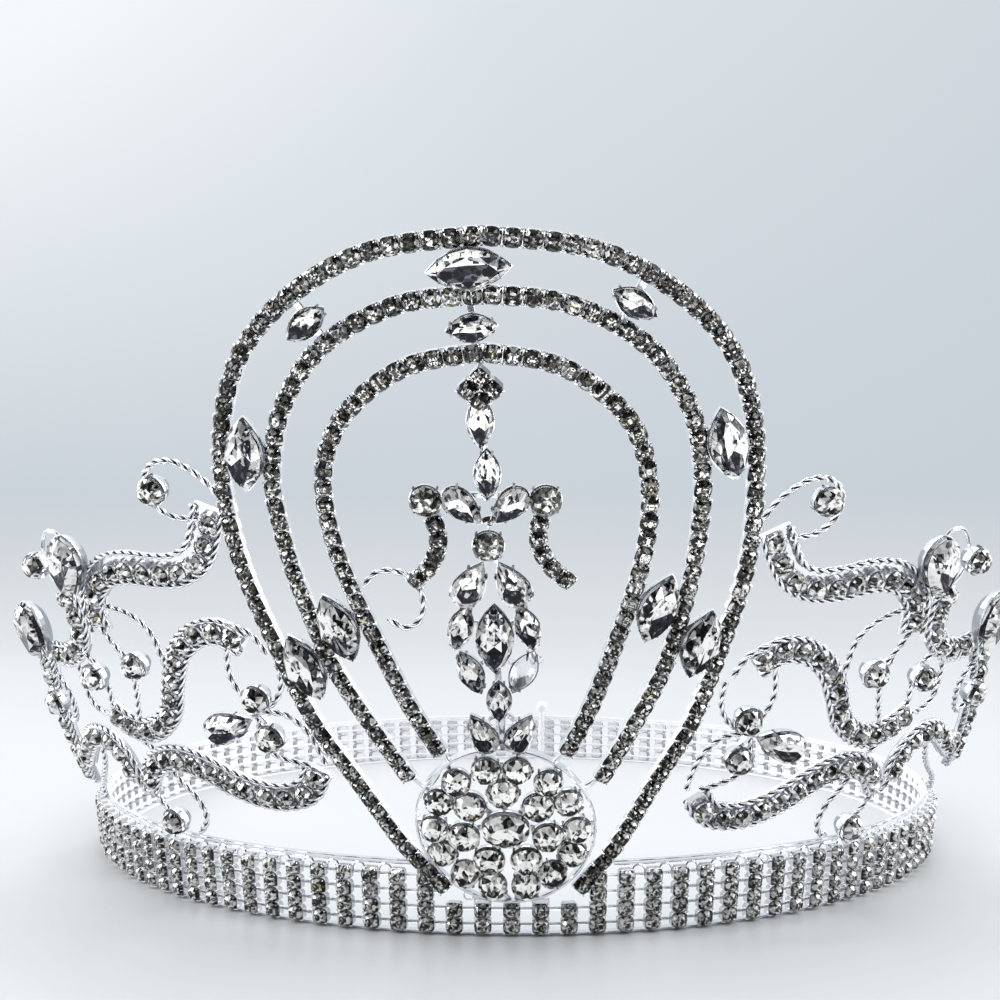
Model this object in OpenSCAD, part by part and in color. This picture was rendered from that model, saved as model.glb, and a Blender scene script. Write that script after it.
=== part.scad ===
// Pageant crown: a flared band of upright stone columns carries three nested arches of cup
// chain, a round medallion, a hanging centre column and scrolled side panels.

/* [Band] */
// Radius of the band's outer face where it stands on the table
ring_r = 80; // [72:1:95]
// Height of the band
band_h = 10.6; // [9:0.2:13]
// How far the band leans out for each millimetre of height
band_flare = 0.12; // [0:0.01:0.25]
// Depth of the stone columns, from the inner face to the outer one
band_t = 2.2; // [1.8:0.1:3]
// Thickness of the thin strips along the top and the bottom
rim_t = 1.0; // [0.7:0.1:1.6]
// Height of the bottom strip
foot_strip_h = 0.6; // [0.4:0.1:1.2]
// Height of the top strip
top_strip_h = 0.8; // [0.5:0.1:1.4]
// Number of stone columns around the band
column_count = 120; // [90:1:120]
// Width of the post behind each column of stones
column_w = 2.4; // [2:0.1:3]
// Distance from the band's edges to the ends of the posts
post_end = 0.2; // [0.1:0.1:0.4]

/* [Open work] */
// How far the open work above the band leans out for each millimetre of height
work_flare = 0.477; // [0.2:0.01:0.6]
// How far the open work leans sideways for each millimetre of height
lean = 0.06; // [0:0.01:0.1]
// Height above which the sideways lean stays the same
lean_top = 65; // [40:1:90]
// How much the right panel rises for each millimetre outwards
right_rise = 0.1; // [0:0.01:0.15]
// How much lower the right panel sits for each millimetre of height
right_drop = 0.015; // [0:0.001:0.03]
// Clear gap between two soldered pieces and under each stone
clear = 0.15; // [0.1:0.05:0.3]

/* [Chains and wires] */
// Width of the small cup chain of the arches
chain_w = 2.3; // [1.8:0.1:2.6]
// Depth of the small cup chain
chain_t = 2.0; // [1.6:0.1:2.4]
// Width of the scroll strip, a shallow channel
strip_w = 4.4; // [4:0.1:5]
// Thickness of the scroll strip along its middle
strip_t = 0.8; // [0.6:0.1:1.2]
// Rise of the strip's edges above its middle
edge_h = 0.6; // [0.3:0.1:0.9]
// Diameter of the twisted wire in the loops
rope_d = 0.8; // [0.6:0.1:1.2]
// Distance from stone to stone along the scroll strips
scroll_pitch = 3.5; // [3.3:0.1:4.5]
// Distance from stone to stone along the two tails
tail_pitch = 2.35; // [2.3:0.05:3]

/* [Stones] */
// Length of the marquise stones
marquise_l = 10; // [8:0.5:11]
// Width of the marquise stones
marquise_w = 5; // [3.5:0.5:6]
// Depth of the marquise stones
marquise_t = 2.4; // [1.8:0.1:3]
// Length of the small marquise stones
small_marquise_l = 6.2; // [5:0.2:7]
// Width of the small marquise stones
small_marquise_w = 3.4; // [2.6:0.2:4]
// Diameter of the stones on the scroll strips
scroll_stone_d = 2.9; // [2.2:0.1:3.1]
// Diameter of the stones on the tails
tail_stone_d = 2.1; // [1.6:0.1:2.3]
// Diameter of the round stones of the medallion
round_d = 4.1; // [3:0.1:4.3]
// Depth of the round stones
round_t = 1.9; // [1.4:0.1:2.4]
// Length of the medallion's oval stone
oval_l = 6.8; // [5:0.2:7]
// Height of the medallion's oval stone
oval_w = 5.6; // [4:0.2:5.8]
// Radius of the medallion's ring
medallion_r = 12.6; // [12.4:0.1:13]

/* [Hidden] */

silver = "silver";
crystal = "lightslategray";
$fn = 48;

// Height and radius of the crown's surface. Stone fronts lie on it, and metal lies behind it.
rim_r = ring_r + band_flare * band_h;
function surf_r(z) = z < band_h ? ring_r + band_flare * z : rim_r + work_flare * (z - band_h);
function slope(z) = z < band_h ? band_flare : work_flare;
function sway(z) = -lean * min(z, lean_top);

// A place is [across, height], across being measured around the crown from its middle line.
// Heights are drawn for a band of drawn_band_h, and move up or down with the band's top.
drawn_band_h = 10.6;
function height(p) = p[1] + band_h - drawn_band_h;
function across(p) = p[0] + sway(height(p));
function bearing(p) = across(p) / surf_r(height(p)) * 180 / PI;
function normal(p) = let (a = bearing(p), t = atan(slope(height(p))))
    [sin(a) * cos(t), -cos(a) * cos(t), -sin(t)];
function level(p) = let (a = bearing(p)) [cos(a), sin(a), 0];
function upward(p) = cross(normal(p), level(p));
function on_crown(p, out = 0) = let (a = bearing(p), r = surf_r(height(p)))
    [r * sin(a), -r * cos(a), height(p)] + out * normal(p);

// Sets a flat shape drawn in x and y on the surface, turned by the given angle.
module at(p, turn = 0, out = 0) {
    x = level(p);
    n = normal(p);
    y = upward(p);
    o = on_crown(p, out);
    multmatrix([[x[0], y[0], n[0], o[0]], [x[1], y[1], n[1], o[1]], [x[2], y[2], n[2], o[2]]])
        rotate(turn) children();
}

// A smooth curve through chosen points, with the given number of steps in each span.
function pick(p, i) = p[max(0, min(len(p) - 1, i))];
function smooth_at(p, i, t) = let (a = pick(p, i - 1), b = pick(p, i), c = pick(p, i + 1),
        d = pick(p, i + 2))
    b + t / 2 * ((c - a) + t * ((2 * a - 5 * b + 4 * c - d) + t * (3 * b - a - 3 * c + d)));
function smooth(p, steps) = concat([for (i = [0:len(p) - 2], s = [0:steps - 1])
    smooth_at(p, i, s / steps)], [p[len(p) - 1]]);
function mirrored(p) = [for (i = [len(p) - 1:-1:0]) [-p[i][0], p[i][1]]];
function closed_arch(half) = concat(half, [for (i = [len(half) - 2:-1:0]) [-half[i][0], half[i][1]]]);

// Length run along a route up to each of its points, and the place at a given length.
function flat_step(a, b) = norm([b[0] - a[0], (b[1] - a[1]) * sqrt(1 + work_flare * work_flare)]);
function run_to(p, i = 0, sum = 0) = i >= len(p) - 1 ? [sum]
    : concat([sum], run_to(p, i + 1, sum + flat_step(p[i], p[i + 1])));
function place_at(p, run, d) = [lookup(d, [for (i = [0:len(p) - 1]) [run[i], p[i][0]]]),
    lookup(d, [for (i = [0:len(p) - 1]) [run[i], p[i][1]]])];
function share_of(p, s) = let (run = run_to(p)) place_at(p, run, s * run[len(run) - 1]);

// A bar of any section swept along a route on the crown. The section is a list of
// [sideways, outwards] pairs in anticlockwise order, seen along the route.
function next_to(p, i, loop) = loop ? p[(i + len(p)) % len(p)] : pick(p, i);
function heading(p, i, loop) = let (d = on_crown(next_to(p, i + 1, loop))
    - on_crown(next_to(p, i - 1, loop))) d / norm(d);
function swept_ring(p, i, section, loop) = let (n = normal(p[i]), s = cross(heading(p, i, loop), n),
        u = s / norm(s), o = on_crown(p[i])) [for (q = section) o + q[0] * u + q[1] * n];
function sweep_faces(rings, m, loop) = concat(
    [for (i = [0:rings - (loop ? 1 : 2)], j = [0:m - 1]) let (k = (i + 1) % rings, l = (j + 1) % m)
        [i * m + j, i * m + l, k * m + l, k * m + j]],
    loop ? [] : [[for (j = [m - 1:-1:0]) j], [for (j = [0:m - 1]) (rings - 1) * m + j]]);
module swept(p, section, loop = false) {
    m = len(section);
    polyhedron([for (i = [0:len(p) - 1]) each swept_ring(p, i, section, loop)],
        sweep_faces(len(p), m, loop), convexity = 10);
}
function round_section(w, t, out, sides) = [for (j = [0:sides - 1])
    let (a = (j + 0.5) * 360 / sides) [w / 2 * cos(a), out + t / 2 * sin(a)]];
function box_section(w, low, high) = [[w / 2, low], [w / 2, high], [-w / 2, high], [-w / 2, low]];
function strip_section(w, low) = let (f = low + strip_t)
    [[w / 2, low], [w / 2, f + edge_h], [0, f], [-w / 2, f + edge_h], [-w / 2, low]];

// Outlines of cut stones, pointing along x.
function round_outline(w, h, sides) = [for (j = [0:sides - 1]) let (a = (j + 0.5) * 360 / sides)
    [w / 2 * cos(a), h / 2 * sin(a)]];
function marquise_half(l, w, side) = [for (s = [-0.58, 0, 0.58])
    [-side * s * l / 2, side * w / 2 * (1 - s * s) * 1.04]];
function marquise_outline(l, w) = concat([[l / 2, 0]], marquise_half(l, w, 1), [[-l / 2, 0]],
    marquise_half(l, w, -1));
function pear_outline(l, w) = concat([[l / 2, 0], [l * 0.22, w * 0.26], [-l * 0.06, w * 0.45]],
    [for (a = [115:43:250]) [-l / 2 + w / 2 + w / 2 * cos(a), w / 2 * sin(a)]],
    [[-l * 0.06, -w * 0.45], [l * 0.22, -w * 0.26]]);

// A cut stone: a point at the back, a girdle, and a flat table at the front.
table_share = 0.58;
girdle_share = 0.4;
function stone_corners(outline, t) = concat([[0, 0, 0]],
    [for (q = outline) [q[0], q[1], girdle_share * t]],
    [for (q = outline) [table_share * q[0], table_share * q[1], t]]);
function stone_faces(m, first) = concat(
    [for (j = [0:m - 1]) [first, first + 1 + j, first + 1 + (j + 1) % m]],
    [for (j = [0:m - 1]) let (l = (j + 1) % m)
        [first + 1 + j, first + 1 + m + j, first + 1 + m + l, first + 1 + l]],
    [[for (j = [m - 1:-1:0]) first + 1 + m + j]]);
function set_in(p, turn, out, q) = on_crown(p, out + q[2])
    + (q[0] * cos(turn) - q[1] * sin(turn)) * level(p)
    + (q[0] * sin(turn) + q[1] * cos(turn)) * upward(p);

// Several like stones in one list. Each place is [[across, height], turn].
module stones(outline, t, places, out) {
    m = len(outline);
    corners = stone_corners(outline, t);
    color(crystal) polyhedron(
        [for (s = places, q = corners) set_in(s[0], s[1], out, q)],
        [for (i = [0:len(places) - 1]) each stone_faces(m, i * len(corners))], convexity = 4);
}

// Half of each arch, from its foot to its top, as places on the crown.
outer_half = [[9.4, 6.6], [15, 12.8], [21.3, 23], [26.6, 31.5], [30.6, 41.5], [34.4, 53.5],
    [35.3, 65], [33.8, 74.2], [29.9, 81.4], [22.6, 87.3], [13, 91.3], [0, 92.7]];
middle_half = [[13.3, 23.3], [18.2, 31.4], [22.6, 39.6], [26, 50], [27.6, 58.5], [27.9, 65.5],
    [25.8, 73.5], [20, 80.7], [10.5, 85.2], [0, 86.3]];
inner_half = [[8.6, 27.3], [12.5, 34.5], [16.5, 44.5], [19.8, 54], [21, 62], [20, 68.5],
    [16.6, 73.6], [9.5, 78.2], [0, 79.8]];
outer_route = closed_arch(smooth(outer_half, 2));
middle_route = closed_arch(smooth(middle_half, 2));
inner_route = closed_arch(smooth(inner_half, 2));
chain_section = round_section(chain_w, chain_t, -chain_t / 2, 8);

// Marquise stones between two arches. Shares run along each arch from its right foot.
outer_gallery = [
    // outer share, middle share, small stone
    [0.187, 0.144, 0], [0.308, 0.294, 0], [0.416, 0.405, 1], [0.507, 0.507, 0],
    [0.602, 0.615, 1], [0.695, 0.708, 0], [0.831, 0.876, 0]];
inner_gallery = [
    // middle share, inner share, small stone
    [0.165, 0.182, 0], [0.509, 0.506, 1], [0.853, 0.839, 0]];

cos_work = 1 / sqrt(1 + work_flare * work_flare);
// The medallion hangs from the column's foot, and the band dips to clear its ring.
column_foot = 28.075;
medallion_z = column_foot - medallion_r * cos_work;
ring_gap = 0.33;
notch_z = height([0, medallion_z - medallion_r * cos_work - ring_gap]);
function ring_place(a, r = medallion_r) = [r * cos(a), medallion_z + r * sin(a) * cos_work];
ring_route = [for (a = [0:15:345]) ring_place(a)];
// Round stones of the medallion, three to a cluster, at shares of the ring's radius.
cluster_count = 7;
cluster_inner_r = 0.484 * medallion_r;
cluster_outer_r = 0.802 * medallion_r;
cluster_spread = 12.2;
function cluster(k) = let (a = 90 + k * 360 / cluster_count) [ring_place(a, cluster_inner_r),
    ring_place(a - cluster_spread, cluster_outer_r), ring_place(a + cluster_spread, cluster_outer_r)];
medallion_places = [for (k = [0:cluster_count - 1]) each cluster(k)];

// Stones of the centre column. Kinds: 0 small marquise, 1 small pear, 2 round, 3 petal,
// 4 big marquise, 5 pear.
column_single = [
    // height, turn, kind
    [70.1, 90, 0], [64.5, 90, 0], [56.6, 0, 2], [44.3, 90, 4], [35.6, 90, 0]];
column_pairs = [
    // height, distance from the middle line, turn on the right side, kind
    [61.5, 3.0, -135, 1], [62.3, 7.8, 0, 2], [51.6, 2.9, 118, 5], [45.7, 4.4, 107, 3],
    [30.9, 2.7, 64, 1]];
// The lower petals. The right one is a bare cup.
petal_low = [39.6, 3.5, 66];
square_z = 75.5;
square_step = 1.7;
tail_half = [[7.5, 61.1], [6.5, 58.4], [6.7, 55.8], [8.2, 53.3], [10.6, 51.3]];
curl_route = smooth([[-9.9, 51.7], [-9.4, 48.2], [-10.3, 45.8], [-12.3, 45], [-14.4, 46.2]], 2);
hook_route = smooth([[-9.9, 51.7], [-13.2, 52.7], [-15.6, 52.3], [-17.1, 50.8]], 2);

// Routes of one side panel, drawn for the right side.
upper_scroll = [[38.6, 60.6], [39.9, 57], [42, 53.8], [46, 52], [51, 51.8], [56, 52.2],
    [60.5, 51.6], [64, 49.5], [65.8, 46.3], [65.4, 43]];
question_scroll = [[36.8, 41.8], [41, 43.7], [45.5, 42.9], [49.3, 39.8], [51.5, 35.3],
    [53, 31.3], [56, 28.6], [60, 27.3], [64.5, 27.8], [68.8, 29.6]];
bottom_scroll = [[27.6, 23.4], [29.6, 20.2], [33.5, 18.8], [38, 18.9], [43, 20.1], [48, 22],
    [53, 23.1], [57.5, 22.6], [61, 20.8], [63.3, 17.4]];
rear_scroll = [[74.2, 49.2], [71.9, 46], [71.8, 42.4], [74.6, 39.4], [79, 38.2], [83.6, 38.4]];
fall_scroll = [[88.6, 37.6], [91.4, 33.5], [93.8, 29], [96, 24.6], [98, 20.4], [100.4, 16.4],
    [104.4, 12.7]];
rear_low_scroll = [[67.2, 18.2], [69.4, 22], [73.8, 24.4], [79.4, 24.2], [84.6, 21.6],
    [89.4, 19], [94, 18.8]];
strips = [upper_scroll, question_scroll, bottom_scroll, rear_scroll, fall_scroll,
    rear_low_scroll];
loops = [
    [[37, 62.4], [38.6, 64.2], [41, 65.9], [44, 67.1], [47, 66.9], [49, 65.1], [49, 62.6],
        [47.3, 60.7], [44.5, 59.6], [41, 59.6]],
    [[33.2, 40.7], [35.6, 43.6], [39.6, 45]],
    [[39.9, 41.4], [40.2, 37.6], [38.9, 34.8], [36.6, 32.8]],
    [[32.1, 40.2], [31.6, 36.6], [33, 33.8], [35.4, 32.4]],
    [[35.4, 32], [31.6, 31.8], [28.7, 29.6], [27.1, 26.8], [26.3, 24.6]],
    [[36.4, 31], [36.2, 27.6], [34.2, 25.4], [31.2, 24.6], [28.4, 24.2]],
    [[64.6, 46.8], [61.5, 46.5], [57.5, 45.5], [54.3, 43.3], [53, 40.2], [52.1, 37.2]],
    [[65.9, 43.5], [63, 40.4], [60, 38.4], [57.3, 38.4]],
    [[62.4, 39.6], [60.6, 36.6], [60.7, 32.8], [61.7, 28.9]],
    [[68.8, 36], [68.3, 33.2], [68.4, 30.4]],
    [[63.8, 26.3], [61.6, 25.2], [59.1, 23.7]],
    [[56.5, 21.2], [54.8, 19.4], [52.2, 17.4], [50.5, 14.8], [51, 12.4], [52.6, 11]],
    [[63.2, 16.8], [60.6, 14.4], [57.8, 12.6], [56.4, 11]],
    [[69, 55.6], [71.4, 57.6], [74.4, 57.4], [76.4, 55]],
    [[76.6, 51.8], [75.6, 50.4], [74, 49.4]],
    [[67.4, 47.4], [67.2, 45], [66.2, 43.6]],
    [[74, 39.8], [71.6, 38.2], [69.2, 36.8]],
    [[75.6, 38.8], [76.4, 34.6], [75.4, 30.8], [72, 29.2], [68.8, 29.4]],
    [[83.6, 38.4], [86, 37.6], [88.6, 37.4]],
    [[90.8, 34.4], [87.2, 33.8], [84.6, 31], [85.4, 27.4], [88.6, 25.8], [91.4, 27.6]],
    [[67.4, 18.2], [65.4, 16.4], [63.2, 17]],
    [[77, 24.2], [78.6, 19.8], [82.4, 16.4], [86.4, 14], [88.6, 11]]];
// Short bars that join the cups of the side panels to the wires.
struts = [[[36.8, 31.8], [35.3, 34.6]], [[37.2, 32.3], [34.1, 29.1]], [[41, 30.4], [34.8, 32.1]],
    [[46.6, 63.8], [49.2, 63.8]]];
// Round stones in cups of their own, on the side panels.
side_rounds = [[46.6, 63.8], [35.2, 34.8], [33.9, 28.9], [57.3, 38.6], [68.8, 36], [56.4, 13.2],
    [76.8, 53.2], [88.6, 29.8]];
// Pears of the side panels: place, turn and kind.
side_pears = [[[67.4, 53.2], -86, 6], [[41.2, 30.2], 162, 5], [[85.8, 42.6], -92, 6]];
big_pear_l = 10;
big_pear_w = 6;
small_pear_l = 6.4;
small_pear_w = 3.7;
pear_l = 7;
pear_w = 4.1;
petal_l = 6.8;
petal_w = 3.3;
square_stone_d = 2.2;
square_cup = 2.3;
cup_floor = 0.6;

function outline_of(kind) = kind == 0 ? marquise_outline(small_marquise_l, small_marquise_w)
    : kind == 1 ? pear_outline(small_pear_l, small_pear_w)
    : kind == 2 ? round_outline(round_d, round_d, 8)
    : kind == 3 ? marquise_outline(petal_l, petal_w)
    : kind == 4 ? marquise_outline(marquise_l, marquise_w)
    : kind == 5 ? pear_outline(pear_l, pear_w)
    : pear_outline(big_pear_l, big_pear_w);
function depth_of(kind) = kind == 4 || kind == 6 ? marquise_t : round_t;

// A cup under a stone, narrow at the back and as wide as the stone at the front.
module cup(kind, p, turn, low, high) {
    outline = outline_of(kind);
    at(p, turn) hull() {
        translate([0, 0, low]) linear_extrude(0.1) polygon([for (q = outline) cup_floor * q]);
        translate([0, 0, high - 0.1]) linear_extrude(0.1) polygon(outline);
    }
}
module stone(kind, p, turn, out) stones(outline_of(kind), depth_of(kind), [[p, turn]], out);

// The band: two thin rings and a post behind each column of stones, notched at the front.
module band() color(silver) difference() {
    union() {
        band_ring(0, foot_strip_h);
        band_ring(band_h - top_strip_h, band_h);
        for (i = [0:column_count - 1]) rotate(i * 360 / column_count) column();
    }
    notch_cut();
}
module band_ring(low, high) rotate_extrude($fn = 180) polygon([
    [surf_r(low) - band_t, low], [surf_r(low) - band_t + rim_t, low],
    [surf_r(high) - band_t + rim_t, high], [surf_r(high) - band_t, high]]);
module column() translate([0, column_w / 2, 0]) rotate([90, 0, 0]) linear_extrude(column_w)
    polygon([[surf_r(post_end) - band_t + 0.1, post_end], [surf_r(post_end), post_end],
        [surf_r(band_h - post_end), band_h - post_end],
        [surf_r(band_h - post_end) - band_t + 0.1, band_h - post_end]]);

// The notch follows the outer arch where it comes down through the band.
module notch_cut() {
    foot = outer_half[0];
    above = outer_half[1];
    grow = (above[0] - foot[0]) / (above[1] - foot[1]);
    half = chain_w * 0.62 + 2 * clear;
    low = foot[0] + grow * (notch_z - height(foot)) + half;
    top = band_h + 1;
    high = foot[0] + grow * (top - height(foot)) + half;
    translate([0, -ring_r + 4 * band_t, 0]) rotate([90, 0, 0]) linear_extrude(8 * band_t)
        polygon([[-low + sway(notch_z), notch_z], [low + sway(notch_z), notch_z],
            [high + sway(top), top], [-high + sway(top), top]]);
}

// A ball on a post, just inside the band at the back, leaning as the band does.
module back_stud() color(silver) rotate(stud_bearing)
    translate([0, -ring_r + band_t + stud_post_d / 2 + clear, 0]) rotate([atan(band_flare), 0, 0]) {
        translate([0, 0, post_end]) cylinder(h = band_h + stud_d / 2, d = stud_post_d);
        translate([0, 0, band_h + stud_d / 2 + stud_post_d]) sphere(d = stud_d);
    }
stud_bearing = 175;
stud_d = 2.8;
stud_post_d = 1.1;

module outer_arch() color(silver) swept(outer_route, chain_section);
module middle_arch() color(silver) swept(middle_route, chain_section);
module inner_arch() color(silver) swept(inner_route, chain_section);

// Depth of the cups, and width and thickness of the bars that join them.
cup_t = 1.4;
side_cup_t = 1.8;
bar_w = 0.8;
bar_t = 0.8;
spine_w = 0.9;
spine_back = 1.95;

// A marquise between two routes, at the given share of each.
function between(a, b, g) = let (p = share_of(a, g[0]), q = share_of(b, g[1])) [(p + q) / 2,
    atan2((p[1] - q[1]) / cos_work, p[0] - q[0]) + 90, flat_step(p, q)];
gallery = concat([for (g = outer_gallery) concat(between(outer_route, middle_route, g), [g[2] ? 0 : 4])],
    [for (g = inner_gallery) concat(between(middle_route, inner_route, g), [g[2] ? 0 : 4])]);
gallery_out = 0.8;
stay_w = 1;
module arch_settings() color(silver) union() for (g = gallery) {
    bar = g[2] - chain_w - 2 * clear;
    cup(g[3], g[0], g[1], -cup_t, gallery_out);
    at(g[0], g[1]) translate([-stay_w / 2, -bar / 2, -bar_t - gallery_out]) cube([stay_w, bar, bar_t]);
}
module gallery_stone(i) stone(gallery[i][3], gallery[i][0], gallery[i][1], gallery_out + clear);

// The medallion: a thin ring with a cup under each round stone, joined by spokes and a hub.
ring_t = 1.6;
wire_w = 0.5;
// Width of the floor under each round cup, and the reach of the hub, so that they all meet.
floor_lap = 0.48;
floor_d = 2 * cluster_outer_r * sin(180 / cluster_count - cluster_spread) + floor_lap;
hub_d = 2 * (cluster_inner_r + floor_lap) - floor_d;
module bar(a, b, w, low, high) {
    n = max(1, round(flat_step(a, b) / 8));
    swept([for (i = [0:n]) a + (b - a) * i / n], box_section(w, low, high));
}
module medallion_frame() color(silver) union() {
    swept(ring_route, box_section(wire_w, -ring_t, 0), true);
    for (q = medallion_places) at(q) hull() {
        translate([0, 0, -ring_t]) linear_extrude(0.1) polygon(round_outline(floor_d, floor_d, 8));
        translate([0, 0, -0.1]) linear_extrude(0.1) polygon(outline_of(2));
    }
    at([0, medallion_z]) hull() {
        translate([0, 0, -ring_t]) linear_extrude(0.1)
            polygon(round_outline(max(hub_d, oval_l), hub_d, 12));
        translate([0, 0, -0.1]) linear_extrude(0.1) polygon(round_outline(oval_l, oval_w, 12));
    }
    for (s = [-1, 1]) {
        tie(ring_place(90 - s * 62), [s * middle_half[0][0], middle_half[0][1]],
            [s * middle_half[1][0], middle_half[1][1]]);
        tie(ring_place(90 - s * 36), [s * inner_half[0][0], inner_half[0][1]],
            [s * inner_half[1][0], inner_half[1][1]]);
    }
}
// A strap from the ring to just short of the end of an arch, in line with it.
module tie(from, foot, next) {
    d = (next - foot) / flat_step(foot, next);
    bar(from, foot - 2 * clear * d, wire_w + 0.3, -ring_t, -0.3);
}
module medallion_stones() stones(outline_of(2), round_t, [for (q = medallion_places) [q, 0]], clear);
module medallion_oval() stones(round_outline(oval_l, oval_w, 12), marquise_t,
    [[[0, medallion_z], 0]], clear);

// The centre column hangs from the inner arch and stands on the medallion's ring.
column_places = concat([for (c = column_single) [[0, c[0]], c[1], c[2]]],
    [for (c = column_pairs, s = [1, -1]) [[s * c[1], c[0]], s > 0 ? c[2] : 180 - c[2], c[3]]],
    [[[-petal_low[1], petal_low[0]], 180 - petal_low[2], 3]]);
// Bars behind the column's cups on the right side: from, to, depth of the back.
column_bars = [
    [[-0.2, 62.3], [7.8, 62.4], -1.75],
    [[2.6, 28.9], [2.8, 31.2], -1.6],
    [[-0.2, 33.5], [2.5, 31.3], -1.7],
    [[-0.3, 45.2], [4.3, 45.8], -1.65],
    [[-0.2, 40.7], [3.4, 39.7], -1.8],
    [[-0.2, 55.1], [2.8, 51.7], -1.85],
    [[3, 51.4], [4.1, 46.1], -1.55]];
tail_start = 1.25;
tail_right = smooth(tail_half, 2);
tail_left = [for (q = tail_right) [-q[0], q[1]]];
tail_run = run_to(tail_right);
tail_count = floor((tail_run[len(tail_run) - 1] - tail_start) / tail_pitch);
tail_stone_places = [for (t = [tail_right, tail_left], k = [0:tail_count - 1])
    place_at(t, tail_run, tail_start + (k + 0.4) * tail_pitch)];
square_places = [[0, square_z + square_step * cos_work], [0, square_z - square_step * cos_work],
    [square_step, square_z], [-square_step, square_z]];
spine_low = column_foot + wire_w / 2 + clear;
spine_top = inner_half[len(inner_half) - 1][1] - chain_w / 2 - clear;
module centre_column() color(silver) union() {
    bar([0, spine_low], [0, spine_top], spine_w, -spine_back, bar_t - spine_back);
    for (c = column_places) cup(c[2], c[0], c[1], -cup_t, 0);
    cup(3, [petal_low[1], petal_low[0]], petal_low[2], -cup_t, 0);
    for (q = square_places) at(q, 45) translate([-square_cup / 2, -square_cup / 2, -cup_t])
        cube([square_cup, square_cup, cup_t]);
    for (c = column_bars, s = [-1, 1])
        bar([s * c[0][0], c[0][1]], [s * c[1][0], c[1][1]], bar_w, c[2], c[2] + bar_t);
    for (t = [tail_right, tail_left]) swept(t, box_section(chain_w, -1.6, 0));
    swept(curl_route, round_section(rope_d, rope_d, -1, 5));
    swept(hook_route, round_section(rope_d, rope_d, -1, 5));
}
module column_stone(i) stone(column_places[i][2], column_places[i][0], column_places[i][1], clear);
module square_stones() stones(round_outline(square_stone_d, square_stone_d, 6), round_t * 0.8,
    [for (q = square_places) [q, 0]], clear);
module tail_stones() stones(round_outline(tail_stone_d, tail_stone_d, 6), round_t * 0.7,
    [for (q = tail_stone_places) [q, 0]], clear);

// A side panel: strips with roped edges, wire loops and cups. Side is 1 on the right.
rise_from = 60;
foot_gap = 0.4;
function on_side(side, q) = side < 0 ? [-q[0], q[1]]
    : [q[0], max(q[1] + right_rise * (q[0] - rise_from) - right_drop * q[1],
        min(q[1], drawn_band_h + foot_gap))];
function side_route(side, p, steps) = [for (q = smooth(p, steps)) on_side(side, q)];
function steps_for(p) = p[0][0] > 67 ? 1 : 2;
function side_turn(side, a) = side < 0 ? 180 - a : a;
module scrolls(side) color(silver) union() {
    for (i = [0:len(strips) - 1]) swept(side_route(side, strips[i], steps_for(strips[i])),
        strip_section(strip_w, strip_low(i)));
    for (i = [0:len(loops) - 1]) swept(side_route(side, loops[i], steps_for(loops[i])),
        round_section(rope_d, rope_d, -1.2 + layer * (i % 4), 5));
    for (b = struts) bar(on_side(side, b[0]), on_side(side, b[1]), rope_d, -1.9, -1.05);
    for (q = side_rounds) cup(2, on_side(side, q), 0, -side_cup_t, 0);
    for (c = side_pears) cup(c[2], on_side(side, c[0]), side_turn(side, c[1]), -side_cup_t, 0);
}
// Strips and wires lie at slightly different depths, so their faces never coincide.
layer = 0.04;
function strip_low(i) = -2.1 - layer * (i % 3);
function strip_places(side, p) = let (r = side_route(side, p, 4), run = run_to(r),
        length = run[len(run) - 1], n = floor((length + 0.4) / scroll_pitch))
    [for (k = [0:n - 1]) place_at(r, run, length / 2 + (k - (n - 1) / 2) * scroll_pitch)];
module scroll_stones(side) stones(round_outline(scroll_stone_d, scroll_stone_d, 6), round_t * 0.8,
    [for (p = strips, q = strip_places(side, p)) [q, 0]], -2.1 + strip_t + clear);
module round_stones(side) stones(outline_of(2), round_t,
    [for (q = side_rounds) [on_side(side, q), 0]], clear);
module side_pear(side, i) let (c = side_pears[i])
    stone(c[2], on_side(side, c[0]), side_turn(side, c[1]), clear);
module left_scrolls() scrolls(-1);
module right_scrolls() scrolls(1);
module left_scroll_stones() scroll_stones(-1);
module right_scroll_stones() scroll_stones(1);
module left_round_stones() round_stones(-1);
module right_round_stones() round_stones(1);

band();
back_stud();
outer_arch();
middle_arch();
inner_arch();
arch_settings();
gallery_stone(0);  // gallery_stone_1
gallery_stone(1);  // gallery_stone_2
gallery_stone(2);  // gallery_stone_3
gallery_stone(3);  // gallery_stone_4
gallery_stone(4);  // gallery_stone_5
gallery_stone(5);  // gallery_stone_6
gallery_stone(6);  // gallery_stone_7
gallery_stone(7);  // gallery_stone_8
gallery_stone(8);  // gallery_stone_9
gallery_stone(9);  // gallery_stone_10
medallion_frame();
medallion_stones();
medallion_oval();
centre_column();
column_stone(0);  // column_stone_1
column_stone(1);  // column_stone_2
column_stone(2);  // column_stone_3
column_stone(3);  // column_stone_4
column_stone(4);  // column_stone_5
column_stone(5);  // column_stone_6
column_stone(6);  // column_stone_7
column_stone(7);  // column_stone_8
column_stone(8);  // column_stone_9
column_stone(9);  // column_stone_10
column_stone(10);  // column_stone_11
column_stone(11);  // column_stone_12
column_stone(12);  // column_stone_13
column_stone(13);  // column_stone_14
column_stone(14);  // column_stone_15
column_stone(15);  // column_stone_16
square_stones();
tail_stones();
left_scrolls();
left_scroll_stones();
left_round_stones();
side_pear(-1, 0);  // left_pear_1
side_pear(-1, 1);  // left_pear_2
side_pear(-1, 2);  // left_pear_3
right_scrolls();
right_scroll_stones();
right_round_stones();
side_pear(1, 0);  // right_pear_1
side_pear(1, 1);  // right_pear_2
side_pear(1, 2);  // right_pear_3
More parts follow.
